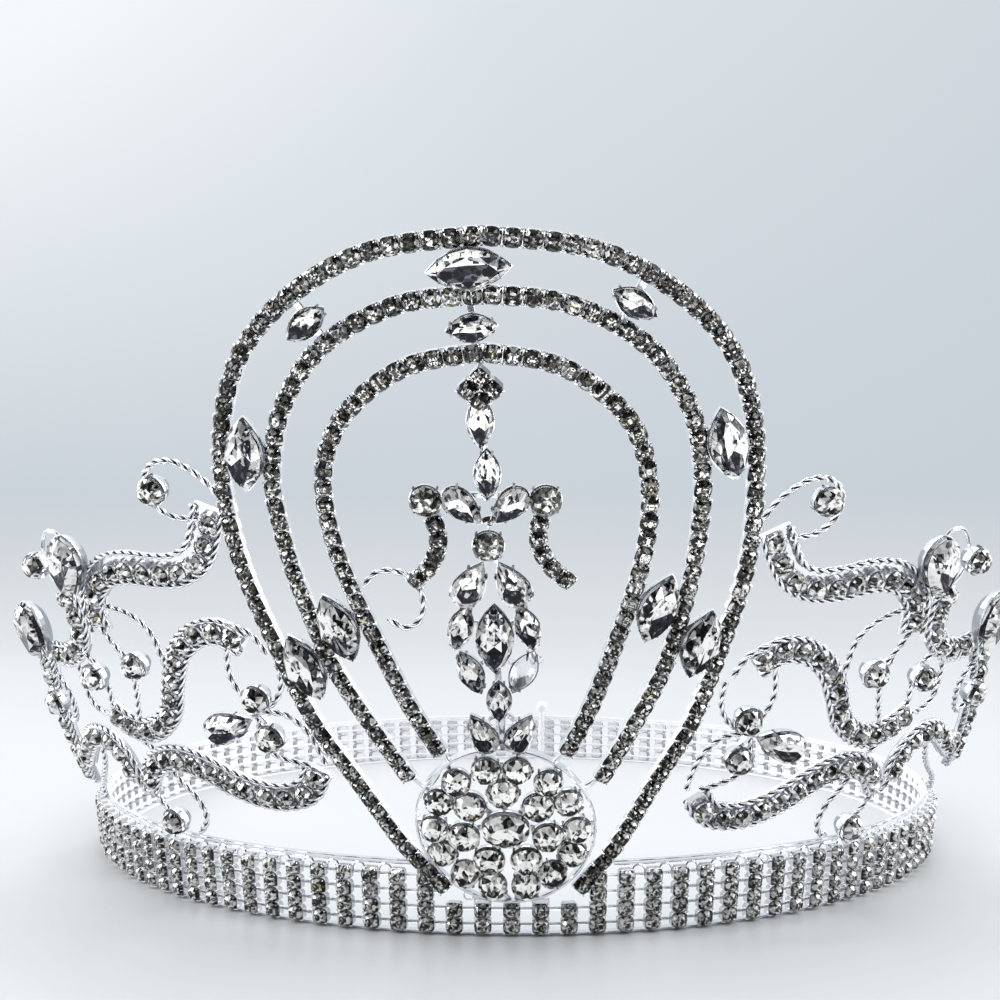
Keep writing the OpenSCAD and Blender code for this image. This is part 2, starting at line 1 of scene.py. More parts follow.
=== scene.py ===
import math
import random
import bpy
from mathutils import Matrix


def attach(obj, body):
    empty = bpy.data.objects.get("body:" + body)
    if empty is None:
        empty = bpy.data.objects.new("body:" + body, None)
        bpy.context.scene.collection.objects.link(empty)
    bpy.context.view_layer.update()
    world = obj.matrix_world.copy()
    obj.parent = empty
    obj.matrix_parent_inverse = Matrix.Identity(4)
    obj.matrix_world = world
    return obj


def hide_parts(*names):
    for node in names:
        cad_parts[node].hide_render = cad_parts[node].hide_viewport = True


bl_info = {
    "name": "Pageant Crown",
    "version": (1, 0, 0),
    "blender": (4, 5, 0),
    "location": "View3D > Sidebar > Crown",
    "description": "Dresses the crown's solids with cup chains, roped wire and cut stones",
    "category": "Object",
}

import bmesh
import bpy
from mathutils import Matrix, Vector

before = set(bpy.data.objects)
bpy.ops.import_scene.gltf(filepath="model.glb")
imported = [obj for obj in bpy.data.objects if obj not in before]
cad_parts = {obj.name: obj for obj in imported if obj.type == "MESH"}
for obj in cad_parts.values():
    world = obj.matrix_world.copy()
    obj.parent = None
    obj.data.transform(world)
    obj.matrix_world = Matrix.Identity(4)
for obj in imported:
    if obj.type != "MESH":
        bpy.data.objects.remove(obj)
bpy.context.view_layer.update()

MM = 0.001

# The crown's surface, in millimetres, as the solids have it. Places on it are [across, height].
RING_R = 80.0
BAND_H = 10.6
BAND_FLARE = 0.12
WORK_FLARE = 0.477
RIM_R = RING_R + BAND_FLARE * BAND_H
COS_WORK = 1 / math.sqrt(1 + WORK_FLARE ** 2)
# How far it leans to the left as it rises, and up to which height.
LEAN = 0.06
LEAN_TOP = 65.0
# How the right panel differs in height from the left one: by how far out and how high a place is.
RIGHT_RISE = 0.1
RIGHT_DROP = 0.015
# The band: its columns, its turn in degrees, and how much narrower it is across than deep.
COLUMN_COUNT = 120
COLUMN_STEP = 360 / COLUMN_COUNT
BAND_TURN = -0.35
BAND_SQUEEZE = 0.989
# Heights of its rows of stones. From NOTCH_Z upwards its front is open: for this many columns on
# each side of the middle one, and for this many degrees in its wires and in its rims.
ROW_Z = (1.42, 3.72, 6.02, 8.32)
NOTCH_Z = 5.0
NOTCH_COLUMNS = 2
WIRE_GAP = 7.5
RIM_GAP = 10.5
# Heights of its strips, from and to, and of the scallops under them.
BOTTOM_RIM = (0.0, 0.34)
TOP_RIMS = ((9.75, 10.05), (10.3, 10.6))
SCALLOP_Z = 8.95
# Depths of the cups in the chains and in the band.
CHAIN_DEEP = 1.15
BAND_DEEP = 1.35
# Behind this line the band's faces that look sideways are satin too.
SATIN_FROM_Y = -50.0
# Corners of a thin square wire.
DIAMOND = ((1, 0), (0, 1), (-1, 0), (0, -1))


def surf_r(z):
    return RING_R + BAND_FLARE * z if z < BAND_H else RIM_R + WORK_FLARE * (z - BAND_H)


def bearing(p):
    """Angle of a place around the ring, from the front."""
    return (p[0] - LEAN * min(p[1], LEAN_TOP)) / surf_r(p[1])


def axes_around(a, slope):
    """Level, upward and outward directions at an angle around a ring that opens by a slope."""
    t = math.atan(slope)
    out = Vector((math.sin(a) * math.cos(t), -math.cos(a) * math.cos(t), -math.sin(t)))
    level = Vector((math.cos(a), math.sin(a), 0.0))
    return level, out.cross(level), out


def axes_at(p):
    return axes_around(bearing(p), BAND_FLARE if p[1] < BAND_H else WORK_FLARE)


def on_crown(p, out=0.0):
    a, r = bearing(p), surf_r(p[1])
    return Vector((r * math.sin(a), -r * math.cos(a), p[1])) + out * axes_at(p)[2]


def placing(axes, at):
    m = Matrix(axes).transposed().to_4x4()
    m.translation = at
    return m


def matrix_at(p, turn=0.0, out=0.0):
    """Placing of a flat drawing on the surface, turned by some degrees."""
    level, up, face = axes_at(p)
    c, s = math.cos(math.radians(turn)), math.sin(math.radians(turn))
    return placing((level * c + up * s, up * c - level * s, face), on_crown(p, out))


def spun(m, turn, lift=0.0):
    """A placing turned about its own outward axis, then moved along it."""
    return m @ Matrix.Rotation(turn, 4, "Z") @ Matrix.Translation((0, 0, lift))


def band_point(a, r, z):
    return Vector((r * BAND_SQUEEZE * math.sin(a), -r * math.cos(a), z))


def band_place(azimuth, z, out=0.0):
    """Placing on the band at an angle in degrees from the front."""
    a = math.radians(azimuth + BAND_TURN)
    axes = axes_around(a, BAND_FLARE)
    return placing(axes, band_point(a, surf_r(z), z) + out * axes[2])


def smooth(points, steps):
    """A smooth curve through chosen places."""
    def pick(i):
        return points[max(0, min(len(points) - 1, i))]
    result = []
    for i in range(len(points) - 1):
        a, b, c, d = pick(i - 1), pick(i), pick(i + 1), pick(i + 2)
        for s in range(steps):
            t = s / steps
            result.append(tuple(
                b[k] + t / 2 * ((c[k] - a[k]) + t * ((2 * a[k] - 5 * b[k] + 4 * c[k] - d[k])
                                                     + t * (3 * b[k] - a[k] - 3 * c[k] + d[k])))
                for k in (0, 1)))
    return result + [tuple(points[-1])]


def between(a, b, t):
    return (a[0] + (b[0] - a[0]) * t, a[1] + (b[1] - a[1]) * t)


def flat_step(a, b):
    """Distance between two places along the surface."""
    return math.hypot(b[0] - a[0], (b[1] - a[1]) / COS_WORK)


def heading(a, b):
    """Direction from one place to another, in degrees."""
    return math.degrees(math.atan2((b[1] - a[1]) / COS_WORK, b[0] - a[0]))


def stepped(p, angle, d):
    """The place at a distance from another, in a direction in degrees."""
    a = math.radians(angle)
    return (p[0] + d * math.cos(a), p[1] + d * math.sin(a) * COS_WORK)


class Run:
    """A route with its length worked out, so that places can be picked along it."""

    def __init__(self, route):
        self.route = route
        self.reach = [0.0]
        for a, b in zip(route, route[1:]):
            self.reach.append(self.reach[-1] + flat_step(a, b))
        self.length = self.reach[-1]

    def place(self, d):
        d = max(0.0, min(self.length, d))
        i = 0
        while i < len(self.reach) - 2 and self.reach[i + 1] < d:
            i += 1
        t = (d - self.reach[i]) / max(1e-9, self.reach[i + 1] - self.reach[i])
        return between(self.route[i], self.route[i + 1], t)

    def turn(self, d):
        return heading(self.place(d - 0.4), self.place(d + 0.4))

    def stations(self, pitch, first=0.0):
        """Placings about one pitch apart, from a distance along the route to its end."""
        span = self.length - first
        count = max(1, int(span / pitch + 0.5))
        middles = [first + (k + 0.5) * (span / count) for k in range(count)]
        return [matrix_at(self.place(d), self.turn(d)) for d in middles]


def whole_arch(half):
    right = smooth(half, 6)
    return Run(right + [(-x, z) for x, z in reversed(right[:-1])])


def mirrored(side, route):
    return [(side * x, z) for x, z in route]


def offset_route(route, side):
    """The route moved sideways along the surface."""
    run = Run(route)
    count = max(2, int(run.length / 0.8))
    along = [run.length * i / count for i in range(count + 1)]
    return [stepped(run.place(d), run.turn(d) + 90, side) for d in along]


# Half of each arch, from its foot to its top.
OUTER_HALF = [(9.4, 6.6), (15, 12.8), (21.3, 23), (26.6, 31.5), (30.6, 41.5), (34.4, 53.5),
              (35.3, 65), (33.8, 74.2), (29.9, 81.4), (22.6, 87.3), (13, 91.3), (0, 92.7)]
MIDDLE_HALF = [(13.3, 23.3), (18.2, 31.4), (22.6, 39.6), (26, 50), (27.6, 58.5), (27.9, 65.5),
               (25.8, 73.5), (20, 80.7), (10.5, 85.2), (0, 86.3)]
INNER_HALF = [(8.6, 27.3), (12.5, 34.5), (16.5, 44.5), (19.8, 54), (21, 62), (20, 68.5),
              (16.6, 73.6), (9.5, 78.2), (0, 79.8)]
OUTER, MIDDLE, INNER = whole_arch(OUTER_HALF), whole_arch(MIDDLE_HALF), whole_arch(INNER_HALF)
ARCHES = (("outer_arch", OUTER), ("middle_arch", MIDDLE), ("inner_arch", INNER))

# Marquises between two arches: share of each arch from its right foot, kind, and where the dark
# side of its table begins, which is a painted reflection.
OUTER_GALLERY = [(0.187, 0.144, 4, 0.3), (0.313, 0.294, 4, 0.15), (0.416, 0.405, 0, 0.0),
                 (0.507, 0.507, 4, -0.5), (0.602, 0.615, 0, 0.0), (0.695, 0.708, 4, 0.0),
                 (0.831, 0.876, 4, 0.3)]
INNER_GALLERY = [(0.165, 0.182, 4, 0.12), (0.509, 0.506, 0, 0.1), (0.853, 0.839, 4, 0.05)]

# The medallion: its middle, the radius of its ring, and how far from the middle the inner and the
# outer stones of its clusters sit. The outer ones stand this many degrees to each side.
MEDALLION_X = -0.35
MEDALLION_Z = 16.5
MEDALLION_R = 12.75
CLUSTER_INNER_R = 6.1
CLUSTER_OUTER_R = 10.1
CLUSTER_SPREAD = 12.2
CLUSTER_COUNT = 7
# Its ties to the feet of two arches, with the angle of each on the ring, from the top.
MEDALLION_TIES = ((62, MIDDLE_HALF), (36, INNER_HALF))

# Wire that ties the ring to the foot of the middle arch, and a claw bent away from its cup.
TIE_WIRE = [(12.7, 23.2), (11.6, 22.3), (10.4, 22.6), (9.4, 23.9), (8.7, 25.2)]
BENT_CLAW = [(4.1, 42.2), (4.6, 41.4), (5.4, 40.6), (6.1, 40.8), (6, 41.4), (5.3, 41.4)]

# Stones of the centre column: place, turn and kind.
COLUMN_SINGLE = [((-0.4, 71.7), 90, 12), ((0.4, 65.3), 90, 12), ((0.0, 56.6), 0, 2),
                 ((0.0, 44.3), 90, 4), ((0.0, 35.6), 90, 0)]
# Its pairs, for the right side.
COLUMN_PAIRS = [((2.85, 61.5), -135, 1), ((7.6, 62.3), 0, 2), ((2.6, 51.6), 118, 5),
                ((4.4, 45.7), 107, 3), ((2.7, 30.9), 64, 1)]
# The lowest petal of the flower, which has lost its stone on the right.
PETAL, PETAL_TURN, PETAL_KIND = (3.5, 39.6), 66, 3
# Small stone in the knot of the bow.
KNOT = (0.4, 59.5)
# Square cluster: its middle, half the way between its stones, and the size of one.
SQUARE_X, SQUARE_Z = -0.35, 75.7
SQUARE_STEP = 1.55
SQUARE_LONG = 2.16
TAIL_HALF = [(7.5, 61.1), (6.5, 58.4), (6.7, 55.8), (8.2, 53.3), (10.6, 51.3)]
CURL = [(-9.9, 51.7), (-9.4, 48.2), (-10.3, 45.8), (-12.3, 45), (-14.4, 46.2)]
HOOK = [(-9.9, 51.7), (-13.2, 52.7), (-15.6, 52.3), (-17.1, 50.8)]
# Pieces of the spine, with their widths and the depths of their fronts, then bars for both sides.
SPINE = [((0, MEDALLION_Z + MEDALLION_R * COS_WORK + 0.4), (0, 47.4), 0.9, -1.15),
         ((0, 55.6), (0, 59.2), 0.4, -1.3), ((0, 61.7), (0, 69.5), 0.9, -1.15),
         ((0, 69.5), (SQUARE_X, 72), 0.9, -1.15), ((SQUARE_X, 72), (SQUARE_X, 78.5), 0.9, -1.15)]
COLUMN_BARS = [((-0.2, 62.3), (7.8, 62.4)), ((2.6, 28.9), (2.8, 31.2)),
               ((-0.2, 33.5), (2.5, 31.3)), ((-0.3, 45.2), (4.3, 45.8)),
               ((-0.2, 40.7), (3.4, 39.7)), ((-0.2, 55.1), (2.8, 51.7)), ((3, 51.4), (4.1, 46.1))]

# Routes of one side panel, for the right side.
STRIPS = [
    [(38.6, 60.6), (39.9, 57), (42, 53.8), (46, 52), (51, 51.8), (56, 52.2), (60.5, 51.6),
     (64, 49.5), (65.8, 46.3), (65.4, 43)],
    [(36.8, 41.8), (41, 43.7), (45.5, 42.9), (49.3, 39.8), (51.5, 35.3), (53, 31.3),
     (56, 28.6), (60, 27.3), (64.5, 27.8), (68.8, 29.6)],
    [(27.6, 23.4), (29.6, 20.2), (33.5, 18.8), (38, 18.9), (43, 20.1), (48, 22), (53, 23.1),
     (57.5, 22.6), (61, 20.8), (63.3, 17.4)],
    [(74.2, 49.2), (71.9, 46), (71.8, 42.4), (74.6, 39.4), (79, 38.2), (83.6, 38.4)],
    [(88.6, 37.6), (91.4, 33.5), (93.8, 29), (96, 24.6), (98, 20.4), (100.4, 16.4),
     (104.4, 12.7)],
    [(67.2, 18.2), (69.4, 22), (73.8, 24.4), (79.4, 24.2), (84.6, 21.6), (89.4, 19),
     (94, 18.8)]]
# How much further the upper edge of each strip stands from its stones.
STRIP_EXTRA = (1.1, 0.0, 0.4, 0.0, 0.0, 0.0)
LOOPS = [
    [(37, 62.4), (38.6, 64.2), (41, 65.9), (44, 67.1), (47, 66.9), (49, 65.1), (49, 62.6),
     (47.3, 60.7), (44.5, 59.6), (41, 59.6)],
    [(33.2, 40.7), (35.6, 43.6), (39.6, 45)],
    [(39.9, 41.4), (40.2, 37.6), (38.9, 34.8), (36.6, 32.8)],
    [(32.1, 40.2), (31.6, 36.6), (33, 33.8), (35.4, 32.4)],
    [(35.4, 32), (31.6, 31.8), (28.7, 29.6), (27.1, 26.8), (26.3, 24.6)],
    [(36.4, 31), (36.2, 27.6), (34.2, 25.4), (31.2, 24.6), (28.4, 24.2)],
    [(64.6, 46.8), (61.5, 46.5), (57.5, 45.5), (54.3, 43.3), (53, 40.2), (52.1, 37.2)],
    [(65.9, 43.5), (63, 40.4), (60, 38.4), (57.3, 38.4)],
    [(62.4, 39.6), (60.6, 36.6), (60.7, 32.8), (61.7, 28.9)],
    [(68.8, 36), (68.3, 33.2), (68.4, 30.4)],
    [(63.8, 26.3), (61.6, 25.2), (59.1, 23.7)],
    [(56.5, 21.2), (54.8, 19.4), (52.2, 17.4), (50.5, 14.8), (51, 12.4), (52.6, 11)],
    [(63.2, 16.8), (60.6, 14.4), (57.8, 12.6), (56.4, 11)],
    [(69, 55.6), (71.4, 57.6), (74.4, 57.4), (76.4, 55)],
    [(76.6, 51.8), (75.6, 50.4), (74, 49.4)],
    [(67.4, 47.4), (67.2, 45), (66.2, 43.6)],
    [(74, 39.8), (71.6, 38.2), (69.2, 36.8)],
    [(75.6, 38.8), (76.4, 34.6), (75.4, 30.8), (72, 29.2), (68.8, 29.4)],
    [(83.6, 38.4), (86, 37.6), (88.6, 37.4)],
    [(90.8, 34.4), (87.2, 33.8), (84.6, 31), (85.4, 27.4), (88.6, 25.8), (91.4, 27.6)],
    [(67.4, 18.2), (65.4, 16.4), (63.2, 17)],
    [(77, 24.2), (78.6, 19.8), (82.4, 16.4), (86.4, 14), (88.6, 11)]]
# Width of a strip, and how far its edges stand from its middle.
STRIP_WIDE = 3.6
STRIP_EDGE = 1.78
# Numbers of the loops that are plain wire.
PLAIN_LOOPS = (13, 14)
SIDE_ROUNDS = [(46.6, 63.8), (35.2, 34.8), (33.9, 28.9), (57.3, 38.6), (68.8, 36), (56.4, 13.2),
               (76.8, 53.2), (88.6, 29.8)]
RIGHT_CURL_ROUND = (45.9, 64.7)
SIDE_PEARS = [((67.4, 53.2), -72, 6), ((40.6, 30.3), 162, 13), ((85.8, 42.6), -80, 6)]
STRUTS = [((36.8, 31.8), (35.3, 34.6)), ((37.2, 32.3), (34.1, 29.1)),
          ((41, 30.4), (34.8, 32.1)), ((46.6, 63.8), (49.2, 63.8))]


def ring_place(a, r=MEDALLION_R):
    return stepped((MEDALLION_X, MEDALLION_Z), a, r)


def on_side(side, q):
    """A place of the right panel's drawing, as it is on the left (-1) or on the right (1)."""
    if side < 0:
        return (-q[0], q[1])
    lifted = q[1] + RIGHT_RISE * (q[0] - 60) - RIGHT_DROP * q[1]
    return (q[0], max(lifted, min(q[1], BAND_H + 0.4)))


def side_turn(side, a):
    return 180 - a if side < 0 else a


# Cuts of stones, by kind: shape, length, width and depth.
KINDS = {
    0: ("marquise", 6.2, 3.4, 1.9),
    1: ("pear", 6.4, 3.7, 1.9),
    2: ("round", 4.1, 4.1, 1.9),
    3: ("marquise", 6.8, 3.3, 1.9),
    4: ("marquise", 10.0, 5.0, 2.4),
    5: ("pear", 7.0, 4.1, 1.9),
    6: ("pear", 10.0, 6.0, 2.4),
    7: ("round", 6.8, 5.6, 2.4),
    8: ("round", 4.5, 4.5, 2.0),
    10: ("round", 2.9, 2.9, 1.5),
    11: ("round", 2.1, 1.2, 0.9),
    12: ("marquise", 6.9, 3.4, 1.9),
    13: ("pear", 9.0, 4.7, 2.1),
}
ROUND, OVAL, CLUSTER_ROUND, SCROLL_ROUND, KNOT_ROUND, TOP_MARQUISE = 2, 7, 8, 10, 11, 12
# Longer stones than this have larger claws.
BIG_LENGTH = 8
FACETS = 8
# By shape: share of the table, where its painted dark side begins, and angles of the claws.
TABLES = {"marquise": 0.72, "pear": 0.66, "round": 0.6}
DARK_FROM = {"pear": -0.02, "round": 0.25}
PRONG_ANGLES = {"marquise": (38, 142, 218, 322), "pear": (60, 140, 220, 300),
                "round": (45, 135, 225, 315)}
# Painted reflections: tones of the facets around the table and of its light side.
PEAR_TONES = (0.3, 0.5, 0.6, 0.7, 0.85)
CROWN_TONES = (0.1, 0.3, 0.42, 0.5, 0.62, 0.8)
LIGHT_TONES = (0.36, 0.52, 0.72, 0.9, 1.0)


def outline_point(shape, length, width, t):
    """A point of a stone's outline at angle t, the tip of a marquise or pear being at 0."""
    c, s = math.cos(t), math.sin(t)
    if shape == "marquise":
        return (length / 2 * c, width / 2 * 1.02 * s * abs(s))
    if shape == "pear":
        return (length / 2 * c, width / 2 * 1.32 * s * abs(math.sin(t / 2)) ** 0.95)
    if shape == "square":
        return (length / 2 * math.copysign(abs(c) ** 0.65, c),
                width / 2 * math.copysign(abs(s) ** 0.65, s))
    return (length / 2 * c, width / 2 * s)


def new_mesh(name, points, edges, faces):
    mesh = bpy.data.meshes.new(name)
    mesh.from_pydata([p * MM for p in points], edges, faces)
    return mesh


def added(name, data):
    obj = bpy.data.objects.new(name, data)
    bpy.context.scene.collection.objects.link(obj)
    return obj


class Form:
    """Points and faces of one mesh, in millimetres. A stone's faces have a tone each, and its
    points keep their place within the stone."""

    def __init__(self):
        self.points, self.faces, self.tones, self.within = [], [], [], []

    def add(self, points, faces, tones=None, within=None):
        base = len(self.points)
        self.points += [Vector(p) for p in points]
        self.faces += [[base + i for i in f] for f in faces]
        self.tones += tones or [0.5] * len(faces)
        self.within += within or [(0.0, 0.0, 0.0)] * len(points)

    def place(self, other, matrix):
        self.add([matrix @ p for p in other.points], other.faces, other.tones, other.within)

    def make(self, name, material=None):
        mesh = new_mesh(name, self.points, [], self.faces)
        tone = mesh.attributes.new("tone", "FLOAT", "FACE")
        tone.data.foreach_set("value", self.tones)
        within = mesh.attributes.new("within", "FLOAT_VECTOR", "POINT")
        within.data.foreach_set("vector", [c for v in self.within for c in v])
        work = bmesh.new()
        work.from_mesh(mesh)
        bmesh.ops.recalc_face_normals(work, faces=work.faces)
        work.to_mesh(mesh)
        work.free()
        if material:
            mesh.materials.append(material)
        return added(name, mesh)


def lofted(form, rings, loop=False, tones=None):
    """Joins rings of points, one after the other, into a closed skin."""
    n = len(rings[0])
    points = [p for ring in rings for p in ring]
    faces = []
    count = len(rings)
    for i in range(count if loop else count - 1):
        k = (i + 1) % count
        for j in range(n):
            m = (j + 1) % n
            faces.append([i * n + j, i * n + m, k * n + m, k * n + j])
    if not loop:
        faces.append(list(range(n - 1, -1, -1)))
        faces.append([(count - 1) * n + j for j in range(n)])
    form.add(points, faces, tones)


def swept(form, route, section, loop=False):
    """A bar of a given section that follows a route on the crown."""
    rings = []
    count = len(route)
    for i, q in enumerate(route):
        a = route[(i - 1) % count] if loop else route[max(0, i - 1)]
        b = route[(i + 1) % count] if loop else route[min(count - 1, i + 1)]
        out = axes_at(q)[2]
        ahead = (on_crown(b) - on_crown(a)).normalized()
        across = ahead.cross(out).normalized()
        at = on_crown(q)
        rings.append([at + s[0] * across + s[1] * out for s in section])
    lofted(form, rings, loop=loop)


def chamfered(h, low, high, b):
    """A rectangle from -h to h and from low to high, with its corners cut off."""
    return [(h, low + b), (h, high - b), (h - b, high), (-h + b, high), (-h, high - b),
            (-h, low + b), (-h + b, low), (h - b, low)]


def box_section(w, low, high, bevel=0.12):
    return chamfered(w / 2, low, high, min(bevel, w / 4, (high - low) / 4))


def tube_section(d, out, sides=8):
    turns = [2 * math.pi * j / sides for j in range(sides)]
    return [(d / 2 * math.cos(t), out + d / 2 * math.sin(t)) for t in turns]


def bar(form, a, b, w, low, high):
    n = max(1, round(flat_step(a, b) / 3))
    swept(form, [between(a, b, i / n) for i in range(n + 1)], box_section(w, low, high))


def wire(form, spots, wide, high, loop=False):
    """A thin square wire; spots are pairs of a place and its sideways direction."""
    lofted(form, [[at + side * wide / 2 * c + Vector((0, 0, high / 2 * s)) for c, s in DIAMOND]
                  for at, side in spots], loop=loop)


def level_ring(outline, share, height):
    return [(share * x, share * y, height) for x, y in outline]


def gem(cut, dice, table=0.56, sink=0.42, down=None, edge=0.0):
    """A cut stone: kite, star and girdle facets around a table of mirrored shards. Its facet tones
    are painted reflections. Where a direction down is given, in degrees, the table is dark on that
    side, further from its middle
    than edge, and light on the other: a painted reflection, darker towards the viewer's lower
    side."""
    shape, length, width, depth = cut
    girdle, under = sink * depth, (sink - 0.05) * depth
    turn = 2 * math.pi / FACETS
    first = dice.random() * turn if shape == "round" else 0.0

    def corners(share, height, start):
        return level_ring([outline_point(shape, length, width, start + i * turn)
                           for i in range(FACETS)], share, height)
    G, H, M, T, U, LG, LH, centre = range(0, 8 * FACETS, FACETS)
    culet = centre + 1
    half = first + turn / 2
    points = (corners(1.0, girdle, first) + corners(1.0, girdle, half)
              + corners(0.8, girdle + 0.6 * (depth - girdle), half) + corners(table, depth, first)
              + corners(table * 0.62, depth, half) + corners(1.0, under, first)
              + corners(1.0, under, half)
              + [(dice.uniform(-0.1, 0.1), dice.uniform(-0.1, 0.1), depth), (0, 0, 0)])
    faces, tones = [], []

    def facet(tone, *f):
        faces.append(f)
        tones.append(tone)

    def crown_tone():
        if down is None:
            return dice.uniform(0.14, 0.86)
        return dice.choice(PEAR_TONES if shape == "pear" else CROWN_TONES)

    # Painted reflection: the table is dark on the side towards the viewer's lower side.
    def table_tone(f):
        if down is None:
            return dice.uniform(0.14, 0.86)
        x = sum(points[i][0] for i in f) / length
        y = sum(points[i][1] for i in f) / width
        lower = x * math.cos(math.radians(down)) + y * math.sin(math.radians(down))
        return dice.uniform(0.0, 0.2) if lower > edge else dice.choice(LIGHT_TONES)
    for i in range(FACETS):
        k, b = (i + 1) % FACETS, (i - 1) % FACETS
        for f in ((G + i, M + i, T + i, M + b), (T + i, M + i, T + k),
                  (G + i, H + i, M + i), (H + i, G + k, M + i)):
            facet(crown_tone(), *f)
        for f in ((T + i, T + k, U + i), (U + i, T + k, U + k), (U + i, U + k, centre)):
            facet(table_tone(f), *f)
        for f in ((LG + i, LH + i, H + i, G + i), (LH + i, LG + k, G + k, H + i),
                  (culet, LH + i, LG + i), (culet, LG + k, LH + i)):
            facet(0.1, *f)
    number = dice.uniform(0, 90)
    form = Form()
    form.add(points, faces, tones, [(q[0], q[1], number) for q in points])
    return form


def around(cut, grow, sides, inset=0.0):
    """Points of a stone's outline, somewhat larger."""
    shape, length, width, _ = cut
    return [outline_point(shape, length * grow - inset, width * grow - inset,
                          2 * math.pi * j / sides) for j in range(sides)]


def cup(cut, low, rim=0.3, grow=1.05, floor=0.62, sides=24):
    """A thin dish around a stone, with a lip that the stone sits in."""
    form = Form()
    rings = ((floor * 0.9, low, 0), (floor, low + 0.1, 0), (0.9, low * 0.45, 0), (1.0, 0.0, 0),
             (1.0, rim, 0), (1.0, rim, 0.35), (1.0, 0.05, 0.45), (0.5, low * 0.5, 0))
    lofted(form, [level_ring(around(cut, grow, sides, inset), share, height)
                  for share, height, inset in rings])
    return form


def lip(cut):
    """A thin wire around the mouth of a cup."""
    form = Form()
    mouth = [Vector((x, y, 0)) for x, y in around(cut, 1.05, 28)]
    wire(form, [(at, at.normalized()) for at in mouth], 0.2, 0.2, loop=True)
    return form


def prong(form, x, y, reach, low, high, w, t=0.28):
    """A claw that stands beside a stone and bends in over its edge."""
    away = Vector((x, y, 0)).normalized()
    side = Vector((-away.y, away.x, 0)) * w / 2
    rings = []
    for off, z, s in ((0.12, low, 1.0), (0.16, high * 0.55, 1.0), (-0.05, high, 0.9),
                      (-reach, high + 0.12, 0.5)):
        at = Vector((x, y, z)) + away * off
        rings.append([at + side * s, at + side * s + away * t, at - side * s + away * t,
                      at - side * s])
    lofted(form, rings)


def claws(cut, low, high, reach, w):
    shape, length, width, _ = cut
    form = Form()
    spread = 0.86 if length > BIG_LENGTH else 0.93
    for a in PRONG_ANGLES[shape]:
        x, y = outline_point(shape, length * spread, width * spread, math.radians(a))
        prong(form, x, y, reach, low, high, w)
    return form


# Node trees, and what two of them make: copies of a small shape, and twisted wire.

class Tree:
    """Adds nodes to a tree, with their inputs filled or linked and their settings made."""

    def __init__(self, tree):
        self.nodes, self.links = tree.nodes, tree.links

    def node(self, kind, inputs=None, **settings):
        made = self.nodes.new(kind)
        for key, value in settings.items():
            setattr(made, key, value)
        for key, value in (inputs or {}).items():
            if isinstance(value, Value):
                value = value.socket
            elif isinstance(value, bpy.types.Node):
                value = value.outputs[0]
            if isinstance(value, bpy.types.NodeSocket):
                self.links.new(value, made.inputs[key])
            else:
                made.inputs[key].default_value = value
        return made

    def value(self, node, output=0):
        return Value(self, node.outputs[output])

    def attribute(self, name):
        return self.value(self.node("ShaderNodeAttribute", attribute_name=name), "Fac")

    def mix(self, factor, a, b):
        """A colour between two, which are sockets or plain numbers."""
        return self.node("ShaderNodeMix", {
            "Factor": factor, "A": a, "B": b}, data_type="RGBA").outputs["Result"]

    def ramp(self, place, stops):
        """A colour ramp; stops are places and colours."""
        made = self.node("ShaderNodeValToRGB", {0: place})
        elements = made.color_ramp.elements
        while len(elements) < len(stops):
            elements.new(0.5)
        for element, (position, colour) in zip(elements, stops):
            element.position = position
            element.color = (*colour, 1)
        return made


class Value:
    """A number socket that takes part in Python arithmetic."""

    def __init__(self, tree, socket):
        self.tree, self.socket = tree, socket

    def _math(self, operation, a, b=0.0):
        return self.tree.value(self.tree.node("ShaderNodeMath", {0: a, 1: b},
                                              operation=operation))

    def __add__(self, other):
        return self._math("ADD", self, other)

    def __mul__(self, other):
        return self._math("MULTIPLY", self, other)

    def __sub__(self, other):
        return self._math("SUBTRACT", self, other)

    def __rsub__(self, other):
        return self._math("SUBTRACT", other, self)

    def __truediv__(self, other):
        return self._math("DIVIDE", self, other)

    def __gt__(self, other):
        return self._math("GREATER_THAN", self, other)

    def fract(self):
        return self._math("FRACT", self)

    def size(self):
        return self._math("ABSOLUTE", self)

    def within(self, low, high):
        return self._math("MINIMUM", self._math("MAXIMUM", self, low), high)

    def clamped(self):
        return self.within(0.0, 1.0)


def node_group(name, inputs):
    """A tree with a geometry input, the named ones and a material input."""
    group = bpy.data.node_groups.new(name, "GeometryNodeTree")
    for label, kind, default in (("Geometry", "Geometry", None), *inputs,
                                 ("Material", "Material", None)):
        socket = group.interface.new_socket(label, in_out="INPUT", socket_type="NodeSocket" + kind)
        if default is not None:
            socket.default_value = default
    group.interface.new_socket("Geometry", in_out="OUTPUT", socket_type="NodeSocketGeometry")
    tree = Tree(group)
    return group, tree, tree.node("NodeGroupInput").outputs


def end_group(tree, given, shape):
    """Makes the copies real, gives them their material and hands them out."""
    real = tree.node("GeometryNodeRealizeInstances", {"Geometry": shape})
    painted = tree.node("GeometryNodeSetMaterial", {
        "Geometry": real, "Material": given["Material"]})
    tree.node("NodeGroupOutput", {"Geometry": painted})


